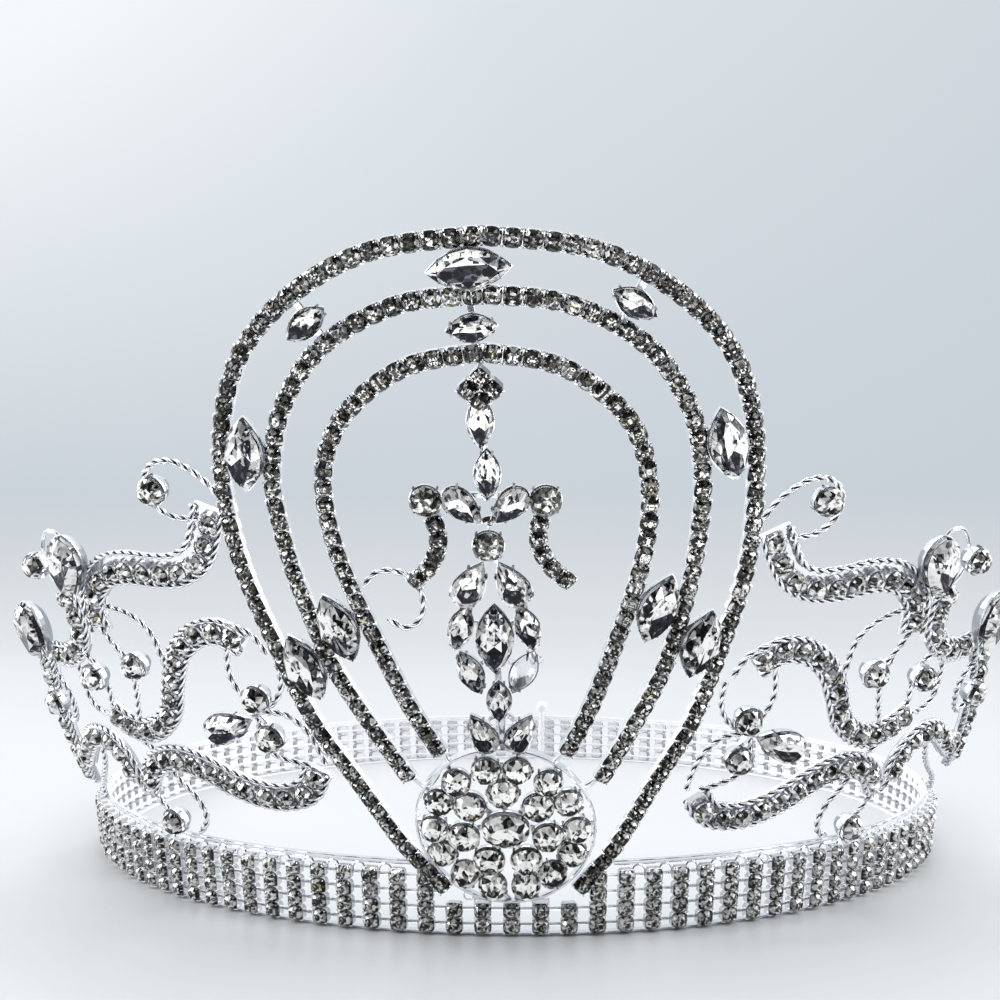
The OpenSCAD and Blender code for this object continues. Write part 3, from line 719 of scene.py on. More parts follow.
def copies_group():
    """Sets a copy of one object on every point, turned as the point says."""
    group, tree, given = node_group("set_copies", (
        ("Copy", "Object", None), ("Size", "Float", 1.0), ("Seed", "Int", 1)))
    info = tree.node("GeometryNodeObjectInfo", {"Object": given["Copy"]},
                     transform_space="ORIGINAL")
    turn = tree.node("GeometryNodeInputNamedAttribute", {"Name": "turn"}, data_type="FLOAT_VECTOR")
    put = tree.node("GeometryNodeInstanceOnPoints", {
        "Points": given["Geometry"], "Instance": info.outputs["Geometry"],
        "Rotation": tree.node("FunctionNodeEulerToRotation", {"Euler": turn}),
        "Scale": given["Size"]})
    chance = tree.node("FunctionNodeRandomValue", {"Seed": given["Seed"]}, data_type="FLOAT")
    spark = tree.node("GeometryNodeStoreNamedAttribute", {
        "Geometry": put, "Name": "spark", "Value": chance.outputs[1]},
        data_type="FLOAT", domain="INSTANCE")
    end_group(tree, given, spark)
    return group


def rope_group():
    """Twists two round strands along the routes it is given."""
    group, tree, given = node_group("lay_rope", (
        ("Width", "Float", 1.0 * MM), ("Lay", "Float", 2.4 * MM), ("Step", "Float", 0.3 * MM),
        ("Sides", "Int", 6)))
    curve = tree.node("GeometryNodeMeshToCurve", {"Mesh": given["Geometry"]})
    even = tree.node("GeometryNodeResampleCurve", {
        "Curve": curve, "Length": given["Step"]}, mode="LENGTH")
    run = tree.value(tree.node("GeometryNodeSplineParameter"), "Length")
    angle = run / given["Lay"] * (2 * math.pi)
    tilt = tree.node("GeometryNodeSetCurveTilt", {"Curve": even, "Tilt": angle})
    width = Value(tree, given["Width"])
    ring = tree.node("GeometryNodeCurvePrimitiveCircle", {
        "Resolution": given["Sides"], "Radius": width * 0.26}, mode="RADIUS")
    pair = tree.node("GeometryNodeJoinGeometry")
    for side in (-1, 1):
        strand = tree.node("GeometryNodeTransform", {
            "Geometry": ring,
            "Translation": tree.node("ShaderNodeCombineXYZ", {"X": width * (0.24 * side)})})
        spot = tree.node("ShaderNodeSeparateXYZ", {
            "Vector": tree.node("GeometryNodeInputPosition")})
        # Marks the side of each strand that faces the other, where the roped metal paints a dark
        # reflection.
        marked = tree.node("GeometryNodeStoreNamedAttribute", {
            "Geometry": strand, "Name": "hollow",
            "Value": 1.0 - tree.value(spot) / width * (2.0 * side)},
            data_type="FLOAT", domain="POINT")
        tree.links.new(marked.outputs[0], pair.inputs[0])
    skin = tree.node("GeometryNodeCurveToMesh", {
        "Curve": tilt, "Profile Curve": pair, "Fill Caps": True})
    end_group(tree, given, skin)
    return group


def grown(name, mesh, group_name, maker, **values):
    """Runs a node tree on a mesh and keeps the result as a plain object."""
    source = added(name, mesh)
    group = bpy.data.node_groups.get(group_name) or maker()
    modifier = source.modifiers.new("grow", "NODES")
    modifier.node_group = group
    for item in group.interface.items_tree:
        if item.item_type == "SOCKET" and item.in_out == "INPUT" and item.name in values:
            modifier[item.identifier] = values[item.name]
    bpy.context.view_layer.update()
    graph = bpy.context.evaluated_depsgraph_get()
    mesh = bpy.data.meshes.new_from_object(source.evaluated_get(graph))
    source.modifiers.clear()
    source.data = mesh
    mesh.name = name
    return source


def copies(name, places, template, material, seed):
    """places are matrices in millimetres; template is a Form."""
    mesh = new_mesh(name, [m.translation for m in places], [], [])
    turn = mesh.attributes.new("turn", "FLOAT_VECTOR", "POINT")
    turn.data.foreach_set("vector", [c for m in places for c in m.to_euler()])
    pattern = template.make(name + "_pattern")
    result = grown(name, mesh, "set_copies", copies_group, Copy=pattern, Size=1.0, Seed=seed,
                   Material=material)
    bpy.data.objects.remove(pattern)
    return result


def ropes(name, routes, out, sizes):
    """routes are lists of places on the crown, each with its own distance outwards."""
    points, edges = [], []
    for route, shift in routes:
        edges += [(i, i + 1) for i in range(len(points), len(points) + len(route) - 1)]
        points += [on_crown(q, out + shift) for q in route]
    result = grown(name, new_mesh(name, points, edges, []), "lay_rope", rope_group,
                   Width=sizes.rope_width * MM, Lay=sizes.rope_lay * MM, Step=0.3 * MM, Sides=6,
                   Material=paint("roped_silver"))
    result.data.shade_smooth()
    return result


def joined(name, objects):
    """One object from several, keeping their materials and face attributes."""
    for o in bpy.context.selected_objects:
        o.select_set(False)
    for o in objects:
        o.select_set(True)
    bpy.context.view_layer.objects.active = objects[0]
    bpy.ops.object.join()
    objects[0].name = name
    objects[0].data.name = name
    objects[0].select_set(False)
    return objects[0]


# Materials.

# Each metal: share of painted dark spots (painted dark reflections), roughness, tint and how
# metallic it is. The satin one is for the band's back; the darker one is painted shade on the
# backs of the open work, which look into the ring, and the shaded one is painted shade on the
# claws.
METALS = {
    "bright_silver": (0.0, 0.16, (0.95, 0.96, 0.98), 0.85),
    "satin_silver": (0.0, 0.5, (0.97, 0.98, 1.0), 0.25),
    "roped_silver": (0.1, 0.2, (0.95, 0.96, 0.98), 0.85),
    # Painted shade: a dark plating for the backs of the open work, which look into the ring.
    "shaded_back_silver": (0.0, 0.36, (0.36, 0.38, 0.41), 0.7),
    "shaded_silver": (0.35, 0.22, (0.3, 0.31, 0.33), 0.85),
}
# Painted reflections of each kind of stone, and how light it is: its inner shards' size in mm and
# stretch, how much they vary within a facet of middle tone, the tint of its dark parts, then
# places and tones of its ramp, from dark to white.
STONES = {
    "chain_crystal": (0.33, 1.0, 1.1, (1.0, 0.95, 0.84), (
        (0.0, 0.008), (0.3, 0.02), (0.5, 0.055), (0.66, 0.11), (0.8, 0.36), (0.93, 0.9))),
    "band_crystal": (0.34, 1.0, 1.1, (1.0, 0.98, 0.9), (
        (0.0, 0.02), (0.22, 0.055), (0.41, 0.18), (0.57, 0.38), (0.73, 0.74), (0.88, 1.0))),
    "scroll_crystal": (0.4, 1.0, 1.1, (1.0, 0.99, 0.9), (
        (0.0, 0.008), (0.25, 0.035), (0.42, 0.13), (0.6, 0.34), (0.78, 0.62), (0.92, 0.95))),
    "round_crystal": (0.36, 1.0, 1.0, (1.0, 1.0, 0.86), (
        (0.0, 0.008), (0.25, 0.025), (0.45, 0.08), (0.65, 0.2), (0.82, 0.5), (0.94, 0.9))),
    "medium_crystal": (0.42, 1.0, 1.1, (1.0, 0.99, 0.96), (
        (0.0, 0.01), (0.16, 0.035), (0.3, 0.19), (0.45, 0.5), (0.62, 0.85), (0.8, 1.0))),
    "medallion_crystal": (0.42, 1.0, 1.15, (1.0, 0.99, 0.96), (
        (0.0, 0.015), (0.12, 0.05), (0.25, 0.24), (0.38, 0.55), (0.54, 0.9), (0.72, 1.0))),
    "large_crystal": (0.4, 0.7, 1.2, (0.92, 0.95, 1.14), (
        (0.0, 0.01), (0.17, 0.025), (0.3, 0.13), (0.46, 0.42), (0.66, 0.76), (0.86, 0.97))),
}
# Painted light: how strongly these stones glow by themselves, through emission.
PAINTED_GLOW = {"medallion_crystal": 0.2, "large_crystal": 0.03}


def paint(name):
    """The material of this name, made when it is first asked for."""
    return bpy.data.materials.get(name) or (crystal if name in STONES else silver)(name)


def new_material(name):
    material = bpy.data.materials.new(name)
    material.use_nodes = True
    material.node_tree.nodes.clear()
    return material, Tree(material.node_tree)


def silver(name):
    """Plated metal with faint clouding, fine scratches and painted dark spots that stand in for
    dark reflections.
    A face with a tone under a half lies in a gap, and is darker: painted shade. The roped one has
    a painted dark reflection in the groove between its strands."""
    painted_spots, roughness, tint, metallic = METALS[name]
    material, tree = new_material(name)
    place = tree.node("ShaderNodeTexCoord").outputs["Object"]
    cloud = tree.value(tree.node("ShaderNodeTexNoise", {
        "Vector": place, "Scale": 260.0, "Detail": 3.0}))
    fine = tree.node("ShaderNodeTexNoise", {"Vector": place, "Scale": 1500.0, "Detail": 2.0})
    dark = tree.node("ShaderNodeTexVoronoi", {"Vector": place, "Scale": 900.0})
    split = tree.node("ShaderNodeSeparateColor", {"Color": dark.outputs["Color"]})
    # Painted dark reflections: random dark spots mixed into the colour.
    painted_darkening = (tree.value(split) > 1.0 - painted_spots) * 0.75
    # Painted shade: faces with a tone under a half lie in gaps between parts and are darkened.
    gap = tree.attribute("tone")
    painted_darkening = (painted_darkening + (0.5 - gap) * (gap > 0.01) * 2.0).clamped()
    # Painted dark reflection in the groove between the rope's two strands, where the hollow mark
    # is high.
    if name == "roped_silver":
        painted_darkening = (painted_darkening * 0.4 + (tree.attribute("hollow") - 0.59) * 4.0).clamped() * 0.93
    clouded = (tint[0] * 0.86, tint[1] * 0.88, tint[2] * 0.92, 1)
    shade = tree.mix(cloud * 0.4, (*tint, 1), clouded)
    bump = tree.node("ShaderNodeBump", {"Strength": 0.12, "Distance": 0.0001, "Height": fine})
    shader = tree.node("ShaderNodeBsdfPrincipled", {
        "Base Color": tree.mix(painted_darkening, shade, (0.03, 0.033, 0.037, 1)), "Metallic": metallic,
        "Roughness": cloud * 0.12 + (roughness - 0.06), "Normal": bump})
    tree.node("ShaderNodeOutputMaterial", {"Surface": shader})
    return material


def crystal(name):
    """Foiled glass drawn with painted reflections: every facet has its own tone, from near black
    to white, broken up by shards.
    The shards mirror across the stone, as the facets of its back do."""
    cell, stretch, variety, tint, stops = STONES[name]
    material, tree = new_material(name)
    within = tree.node("ShaderNodeAttribute", attribute_name="within")
    local = tree.node("ShaderNodeSeparateXYZ", {"Vector": within.outputs["Vector"]})
    number = tree.attribute("spark") * 61.0 + tree.value(local, "Z")
    folded = tree.node("ShaderNodeCombineXYZ", {
        "X": tree.value(local, "X").size() * stretch + 0.11,
        "Y": tree.value(local, "Y").size() + 0.07, "Z": number * 3.7})
    shards = tree.node("ShaderNodeTexVoronoi", {
        "Vector": folded, "Scale": 1 / cell, "Randomness": 1.0}, distance="CHEBYCHEV")
    split = tree.node("ShaderNodeSeparateColor", {"Color": shards.outputs["Color"]})
    # Painted reflections: each facet's tone, which the ramp below turns into a colour from dark to
    # white.
    base = tree.attribute("tone")
    broken = (1.0 - (base - 0.5).size() * 1.7) * variety
    tone = (base + (tree.value(split) - 0.5) * broken
            + ((number * 0.73).fract() - 0.5) * 0.06).clamped()
    lights = []
    for position, light in stops:
        shade = tint if light < 0.3 else (1.0, 0.995, 0.975)
        lights.append((position, [light * c for c in shade]))
    # Painted glints: a few shards turn gold, and some turn dark navy as a painted reflection.
    with_gold_glints = tree.mix((tree.value(split, 1) > 0.997) * 0.35, tree.ramp(tone, lights).outputs[0],
                    (0.95, 0.8, 0.4, 1))
    with_painted_glints = tree.mix((tree.value(split, 2) > 0.93) * 0.25, with_gold_glints, (0.05, 0.06, 0.15, 1))
    # Painted light: emission makes these stones glow though they are no lamp.
    shader = tree.node("ShaderNodeBsdfPrincipled", {
        "Base Color": with_painted_glints, "Metallic": 0.55, "Roughness": 0.07, "Specular IOR Level": 0.2,
        "Emission Color": with_painted_glints, "Emission Strength": PAINTED_GLOW.get(name, 0.0)})
    tree.node("ShaderNodeOutputMaterial", {"Surface": shader})
    return material


# Pieces.

def settled(obj, slot, *nodes):
    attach(obj, "root")
    if nodes:
        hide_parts(*nodes)
    return obj


def gem_piece(stones, name, look, node):
    settled(stones.make(name, paint(look)), "crystal", node)


class CrownSizes(bpy.types.PropertyGroup):
    chain_pitch: bpy.props.FloatProperty(
        name="Chain pitch", description="Distance from stone to stone in the cup chains, in mm",
        default=2.44, min=2.0, max=4.0)
    chain_width: bpy.props.FloatProperty(
        name="Chain width", description="Width of one cup of the chain, in mm",
        default=2.3, min=1.5, max=3.0)
    rope_width: bpy.props.FloatProperty(
        name="Rope width", description="Width of the twisted wire, in mm",
        default=1.05, min=0.4, max=1.4)
    rope_lay: bpy.props.FloatProperty(
        name="Rope lay", description="Length of one turn of the twisted wire, in mm",
        default=3.4, min=0.8, max=5.0)
    scroll_pitch: bpy.props.FloatProperty(
        name="Scroll pitch", description="Distance from stone to stone on the scrolls, in mm",
        default=3.5, min=3.0, max=5.0)
    seed: bpy.props.IntProperty(
        name="Seed", description="Changes the chance tones of the facets", default=7)


def chain_cup(long, wide, deep, end=0.1, side=0.5):
    """One cup of the chain, with a claw at each corner. What shows between two stones is painted
    shade:
    end and side are the tones of its walls, and its top under the stone is dark as well."""
    form = Form()
    h, w = long / 2, wide / 2
    corners = chamfered(h, -w, w, long * 0.16)
    # Painted shade: wall tones under a half darken the metal between stones.
    wall = [end, 0.3, side, 0.3] * 2
    lofted(form, [level_ring(corners, share, z) for share, z in (
        (0.86, -deep), (0.98, 0.15 - deep), (1.0, -0.15), (0.94, 0.0))],
        tones=wall * 3 + [0.5, 0.12])
    for sx in (-1, 1):
        for sy in (-1, 1):
            prong(form, sx * (h - 0.2), sy * (w - 0.17), 0.1, -0.2, 0.32, 0.2, 0.1)
    return form


def chain(name, places, seed, long, wide, glass="chain_crystal", deep=CHAIN_DEEP, tones=()):
    """A cup chain: cups and stones on the given matrices."""
    dice = random.Random(seed)
    cups = copies(name + "_cups", places, chain_cup(long, wide, deep, *tones),
                  paint("bright_silver"), seed)
    turned = [spun(m, dice.randrange(2) * math.pi, -0.25) for m in places]
    cut = ("square", long * 1.045, wide * 1.07, 1.0)
    stones = copies(name + "_stones", turned, gem(cut, dice, table=0.55, sink=0.3), paint(glass),
                    seed + 1)
    return cups, stones


def ring_bar(form, section, gap=0.0):
    """A bar around the band, which ends some degrees short of the front on both sides."""
    step = 1.5 if gap else 2.0
    count = int((360 - 2 * gap) / step) + (1 if gap else 0)
    lofted(form, [[band_point(math.radians(gap + i * step), r, z) for r, z in section]
                  for i in range(count)], loop=not gap)


def band_section(z0, z1, inner, outer):
    """Corners of a bar that follows the band's flare, given as depths behind its face."""
    r0, r1 = surf_r(z0), surf_r(z1)
    b = min(0.08, (z1 - z0) / 4)
    return [(r0 - inner, z0 + b), (r0 - inner + b, z0), (r0 - outer - b, z0), (r0 - outer, z0 + b),
            (r1 - outer, z1 - b), (r1 - outer - b, z1), (r1 - inner + b, z1), (r1 - inner, z1 - b)]


def plate_backs(body, metal, sideways=False):
    """Gives the faces that look into the ring a plating of their own, and where asked also those
    that look sideways in the back part of the ring."""
    body.data.materials.append(metal)
    slot = len(body.data.materials) - 1
    for face in body.data.polygons:
        flat = Vector((face.center.x, face.center.y, 0)).normalized()
        behind = sideways and face.center.y > SATIN_FROM_Y * MM
        if face.normal.dot(flat) < (0.3 if behind else -0.3):
            face.material_index = slot


def metal_piece(name, node, parts, backs="shaded_back_silver", sideways=False):
    """Joins metal parts into the piece that replaces a solid, with duller backs: by default a
    darker plating, painted shade on the faces that look into the ring.
    """
    body = joined(name, parts)
    plate_backs(body, paint(backs), sideways)
    settled(body, "silver_metal", node)


class Setter:
    """Sets stones: keeps the metal, the claws and the chances of one group of them."""

    def __init__(self, seed):
        self.metal, self.hooks, self.dice = Form(), Form(), random.Random(seed)

    def bar(self, a, b, w, low, high):
        bar(self.metal, a, b, w, low, high)

    def seat(self, kind, p, turn, low=-1.4, out=0.0):
        """A cup and its claws. Returns their placing."""
        cut, m = KINDS[kind], matrix_at(p, turn, out)
        self.metal.place(cup(cut, low - out), m)
        if cut[1] > BIG_LENGTH:
            self.hooks.place(claws(cut, -0.4, 1.6, 0.55, 0.75), m)
        else:
            width = 0.24 if cut[0] == "round" else 0.3
            self.hooks.place(claws(cut, -0.4, 0.95, 0.4, width), m)
        return m

    def stone(self, stones, kind, p, turn, low=-1.4, out=0.0, split=True, edge=0.1):
        """A seat with its stone. A split stone has a light and a dark side, a painted reflection.
        """
        m = self.seat(kind, p, turn, low, out)
        shape = KINDS[kind][0]
        # The viewer's lower side, where the table gets its painted dark reflection.
        down = -90 - turn + self.dice.uniform(-22, 22)
        stones.place(gem(KINDS[kind], self.dice, table=TABLES[shape],
                         down=down if split else None, edge=DARK_FROM.get(shape, edge)),
                     spun(m, 0.0, 0.15))

    def finish(self, name, node, *others):
        metal_piece(name, node, [self.metal.make("cups", paint("bright_silver")),
                                 self.hooks.make("claws", paint("shaded_silver")), *others])


def scallop():
    """A small arch of wire that stands in the band's plane."""
    arc = [(-0.95, -1.0), (-0.95, 0.1), (-0.6, 0.62), (0, 0.8), (0.6, 0.62), (0.95, 0.1),
           (0.95, -1.0)]
    spots = []
    for i, (x, y) in enumerate(arc):
        a, b = arc[max(0, i - 1)], arc[min(len(arc) - 1, i + 1)]
        ahead = Vector((b[0] - a[0], b[1] - a[1], 0)).normalized()
        spots.append((Vector((x, y, 0)), Vector((-ahead.y, ahead.x, 0))))
    form = Form()
    wire(form, spots, 0.34, 0.3)
    return form


def brackets():
    """Two square brackets that hold the medallion in the notch, and an eyelet beside them."""
    form = Form()
    line = [(-1.15, -0.4), (-1.15, 0.3), (1.15, 0.3), (1.15, -0.4)]
    for azimuth in (-COLUMN_STEP, COLUMN_STEP):
        at = band_place(azimuth, 5.0, -0.6)
        for a, b in zip(line, line[1:]):
            x0, x1 = min(a[0], b[0]) - 0.11, max(a[0], b[0]) + 0.11
            y0, y1 = min(a[1], b[1]) - 0.11, max(a[1], b[1]) + 0.11
            lofted(form, [[at @ Vector((x, y, z)) for x, y in ((x0, y0), (x1, y0), (x1, y1),
                                                               (x0, y1))] for z in (-0.2, 0.3)])
    turns = [math.radians(a) for a in range(0, 360, 30)]
    eyelet = [(-6.35 + 0.7 * math.cos(a), 5.9 + 0.6 * math.sin(a)) for a in turns]
    swept(form, eyelet, tube_section(0.3, -0.2, 6), loop=True)
    return form


class CROWN_OT_band(bpy.types.Operator):
    """Make the band of upright stone columns, its wires and its rims"""
    bl_idname = "crown.band"
    bl_label = "Band"

    def execute(self, context):
        metal = Form()
        ring_bar(metal, band_section(*BOTTOM_RIM, 2.2, 0.5))
        for z in ROW_Z:
            ring_bar(metal, band_section(z - 0.22, z + 0.22, 1.9, 1.3),
                     0.0 if z < NOTCH_Z else WIRE_GAP)
        for low, high in TOP_RIMS:
            ring_bar(metal, band_section(low, high, 2.2, 1.5), RIM_GAP)
        places, scallops = [], []
        for k in range(COLUMN_COUNT):
            i = k if k <= COLUMN_COUNT // 2 else k - COLUMN_COUNT
            rows = ROW_Z[:2] if abs(i) <= NOTCH_COLUMNS else ROW_Z
            places += [spun(band_place(i * COLUMN_STEP, z), math.pi / 2) for z in rows]
            if abs(i + 0.5) > 4:
                scallops.append(band_place((i + 0.5) * COLUMN_STEP, SCALLOP_Z, -1.2))
        silver_paint = paint("bright_silver")
        wires = metal.make("band_wires", silver_paint)
        # Painted shade on the ends and sides of the band's cups, between its stones.
        cups, stones = chain("band", places, 11, 2.2, 2.36, "band_crystal", BAND_DEEP,
                             (0.42, 0.28))
        hoops = copies("band_hoops", scallops, scallop(), silver_paint, 5)
        small = brackets().make("brackets", silver_paint)
        metal_piece("band_metal", "band", [wires, cups, hoops, small], "satin_silver", True)
        settled(stones, "crystal", "band")
        return {"FINISHED"}


class CROWN_OT_arches(bpy.types.Operator):
    """Make the three arches of cup chain"""
    bl_idname = "crown.arches"
    bl_label = "Arches"

    def execute(self, context):
        sizes = context.scene.crown_sizes
        width = sizes.chain_width
        for number, (node, run) in enumerate(ARCHES):
            cups, stones = chain(node, run.stations(sizes.chain_pitch), 31 + 10 * number, width,
                                 width)
            bed = Form()
            swept(bed, run.route, box_section(width * 0.93, -CHAIN_DEEP, -0.5))
            metal_piece(node + "_metal", node, [cups, bed.make("bed", paint("bright_silver"))])
            settled(stones, "crystal", node)
        return {"FINISHED"}


class CROWN_OT_gallery(bpy.types.Operator):
    """Make the marquise stones between the arches and their settings"""
    bl_idname = "crown.gallery"
    bl_label = "Gallery stones"

    def execute(self, context):
        sizes = context.scene.crown_sizes
        work = Setter(sizes.seed + 100)
        rows = ([(OUTER, MIDDLE, *row) for row in OUTER_GALLERY]
                + [(MIDDLE, INNER, *row) for row in INNER_GALLERY])
        for i, (above, below, share_above, share_below, kind, edge) in enumerate(rows, 1):
            p = above.place(share_above * above.length)
            q = below.place(share_below * below.length)
            middle, turn = between(p, q, 0.5), heading(q, p) + 90
            stone = Form()
            work.stone(stone, kind, (middle[0] * 0.985, middle[1]), turn, out=0.8, edge=edge)
            half = (flat_step(p, q) - sizes.chain_width - 0.2) / 2
            work.bar(stepped(middle, turn + 90, -half), stepped(middle, turn + 90, half), 1.0,
                     -1.6, -0.8)
            gem_piece(stone, "gallery_marquise_%d" % i, "large_crystal", "gallery_stone_%d" % i)
        work.finish("gallery_settings", "arch_settings")
        return {"FINISHED"}


class CROWN_OT_medallion(bpy.types.Operator):
    """Make the round medallion of set stones"""
    bl_idname = "crown.medallion"
    bl_label = "Medallion"

    def execute(self, context):
        work = Setter(context.scene.crown_sizes.seed + 200)
        stones, oval = Form(), Form()
        ring = [ring_place(a) for a in range(0, 360, 5)]
        swept(work.metal, ring, box_section(0.45, -1.6, -0.1), loop=True)
        for k in range(CLUSTER_COUNT):
            a = 90 + k * 360 / CLUSTER_COUNT
            near = ring_place(a, CLUSTER_INNER_R)
            left, right = [ring_place(a + s * CLUSTER_SPREAD, CLUSTER_OUTER_R) for s in (-1, 1)]
            for kind, p in ((CLUSTER_ROUND, near), (ROUND, left), (ROUND, right)):
                work.stone(stones, kind, p, work.dice.uniform(0, 90), -1.6)
            for s, far in ((-1, left), (1, right)):
                work.bar(far, ring_place(a + s * CLUSTER_SPREAD), 0.7, -1.6, -0.9)
                work.bar(near, far, 0.7, -1.5, -0.9)
            work.bar(left, right, 0.7, -1.55, -0.95)
            work.bar(ring_place(a, 2.0), near, 0.9, -1.6, -0.9)
        work.stone(oval, OVAL, (MEDALLION_X, MEDALLION_Z), 0, -1.6)
        for s in (-1, 1):
            for angle, half in MEDALLION_TIES:
                work.bar(ring_place(90 - s * angle), (s * half[0][0], half[0][1]), 0.6, -1.6, -0.7)
            work.bar((s * 0.4, 5.1), (s * 1.6, 6.4), 0.6, -1.4, -0.7)
            swept(work.metal, smooth(mirrored(s, TIE_WIRE), 4), tube_section(0.5, -0.5))
        work.finish("medallion_metal", "medallion_frame")
        gem_piece(stones, "medallion_rounds", "medallion_crystal", "medallion_stones")
        gem_piece(oval, "medallion_centre", "medallion_crystal", "medallion_oval")
        return {"FINISHED"}


class CROWN_OT_column(bpy.types.Operator):
    """Make the hanging centre column, its tails and the wire curl"""
    bl_idname = "crown.column"
    bl_label = "Centre column"

    @staticmethod
    def places():
        """Place, turn and kind of each stone."""
        result = list(COLUMN_SINGLE)
        for (x, z), turn, kind in COLUMN_PAIRS:
            result += [((s * x, z), side_turn(s, turn), kind) for s in (1, -1)]
        return result + [((-PETAL[0], PETAL[1]), side_turn(-1, PETAL_TURN), PETAL_KIND)]

    def execute(self, context):
        sizes = context.scene.crown_sizes
        work = Setter(sizes.seed + 300)
        for a, b, width, front in SPINE:
            work.bar(a, b, width, -1.95, front)
        for s in (-1, 1):
            work.bar((SQUARE_X, 78.2), (SQUARE_X + s * 1.4, 79.1), 0.4, -1.2, -0.8)
        for line in COLUMN_BARS:
            for s in (-1, 1):
                work.bar(*mirrored(s, line), 0.7, -1.75, -1.0)
        for i, (p, turn, kind) in enumerate(self.places(), 1):
            stone = Form()
            is_round = KINDS[kind][0] == "round"
            work.stone(stone, kind, p, turn, out=-0.6 if kind == TOP_MARQUISE else 0.0,
                       split=not is_round)
            if is_round and p[0] == 0:
                work.metal.place(cup(KINDS[KNOT_ROUND], -0.8, 0.1), matrix_at(KNOT, 0, -0.4))
                stone.place(gem(KINDS[KNOT_ROUND], work.dice), matrix_at(KNOT, 0, -0.35))
            gem_piece(stone, "column_gem_%d" % i,
                      "round_crystal" if is_round else "large_crystal", "column_stone_%d" % i)
        work.seat(PETAL_KIND, PETAL, PETAL_TURN)
        work.hooks.place(lip(KINDS[PETAL_KIND]), matrix_at(PETAL, PETAL_TURN, 0.3))
        swept(work.metal, smooth(BENT_CLAW, 4), tube_section(0.4, 0.0, 6))
        squares = [matrix_at(stepped((SQUARE_X, SQUARE_Z), a, SQUARE_STEP), 45, 0.8)
                   for a in (90, 270, 0, 180)]
        square_cups, square_gems = chain("square", squares, 71, SQUARE_LONG, SQUARE_LONG,
                                         deep=CHAIN_DEEP + 0.8)
        tails = []
        for s in (1, -1):
            tails += Run(smooth(mirrored(s, TAIL_HALF), 6)).stations(2.35, 1.25)
        tail_cups, tail_gems = chain("tail", tails, 81, sizes.chain_width, sizes.chain_width)
        curl = ropes("curl", [(smooth(CURL, 6), 0), (smooth(HOOK, 6), 0)], -1.0, sizes)
        work.finish("column_metal", "centre_column", square_cups, tail_cups, curl)
        settled(square_gems, "crystal", "square_stones")
        settled(tail_gems, "crystal", "tail_stones")
        return {"FINISHED"}


class CROWN_OT_panels(bpy.types.Operator):
    """Make the two side panels of roped scrolls, loops and set stones"""
    bl_idname = "crown.panels"
    bl_label = "Side panels"

    def execute(self, context):
        for side, word in ((-1, "left"), (1, "right")):
            self.panel(context.scene.crown_sizes, side, word)
        return {"FINISHED"}

    @staticmethod
    def panel(sizes, side, word):
        work = Setter(sizes.seed + 400 + side)
        edges, gems = [], []
        for strip, extra in zip(STRIPS, STRIP_EXTRA):
            route = [on_side(side, q) for q in smooth(strip, 5)]
            swept(work.metal, offset_route(route, side * extra / 2),
                  box_section(STRIP_WIDE + extra, -2.1, -1.5))
            for d in (STRIP_EDGE + extra, -STRIP_EDGE):
                edges.append((offset_route(route, side * d), 0.15))
            run = Run(route)
            count = int((run.length + 0.4) / sizes.scroll_pitch)
            for k in range(count):
                d = run.length / 2 + (k - (count - 1) / 2) * sizes.scroll_pitch
                gems.append(matrix_at(run.place(d), run.turn(d), -0.9))
        for i, loop in enumerate(LOOPS):
            route = [on_side(side, q) for q in smooth(loop, 6)]
            if i in PLAIN_LOOPS:
                swept(work.metal, route, tube_section(0.6, -1.2))
            else:
                edges.append((route, 0.0))
        for a, b in STRUTS:
            work.bar(on_side(side, a), on_side(side, b), 0.8, -1.9, -1.05)
        rounds = Form()
        first = RIGHT_CURL_ROUND if side > 0 else SIDE_ROUNDS[0]
        for q in [first] + SIDE_ROUNDS[1:]:
            work.stone(rounds, ROUND, on_side(side, q), work.dice.uniform(0, 90), -1.8)
        for i, (q, turn, kind) in enumerate(SIDE_PEARS, 1):
            stone = Form()
            work.stone(stone, kind, on_side(side, q), side_turn(side, turn), -1.8)
            gem_piece(stone, "%s_drop_%d" % (word, i), "large_crystal", "%s_pear_%d" % (word, i))
        rope = ropes(word + "_ropes", edges, -1.2, sizes)
        cut, seat = KINDS[SCROLL_ROUND], Form()
        seat.place(cup(cut, -0.9, 0.15, 1.04, 0.7, 12), Matrix.Identity(4))
        seat.place(claws(cut, -0.3, 0.6, 0.3, 0.45), Matrix.Identity(4))
        cups = copies(word + "_seats", gems, seat, paint("bright_silver"), 91)
        turned = [spun(m, work.dice.random() * math.tau, -0.35) for m in gems]
        small = copies(word + "_scroll_gems", turned, gem(cut, work.dice),
                       paint("scroll_crystal"), 93)
        work.finish(word + "_panel_metal", word + "_scrolls", rope, cups)
        settled(small, "crystal", word + "_scroll_stones")
        gem_piece(rounds, word + "_rounds", "medium_crystal", word + "_round_stones")


class CROWN_OT_finish(bpy.types.Operator):
    """Give the solid that stays its metal"""
    bl_idname = "crown.finish"
    bl_label = "Plate the plain solid"

    def execute(self, context):
        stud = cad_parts["back_stud"].data
        stud.materials.clear()
        stud.materials.append(paint("satin_silver"))
        return {"FINISHED"}


# The camera: lens in mm, place in metres, tilt from straight down and turn to the left in degrees.
LENS = 50.54
EYE = (0, -0.283, 0.0585)
EYE_TILT = 91.2
EYE_TURN = 0.612
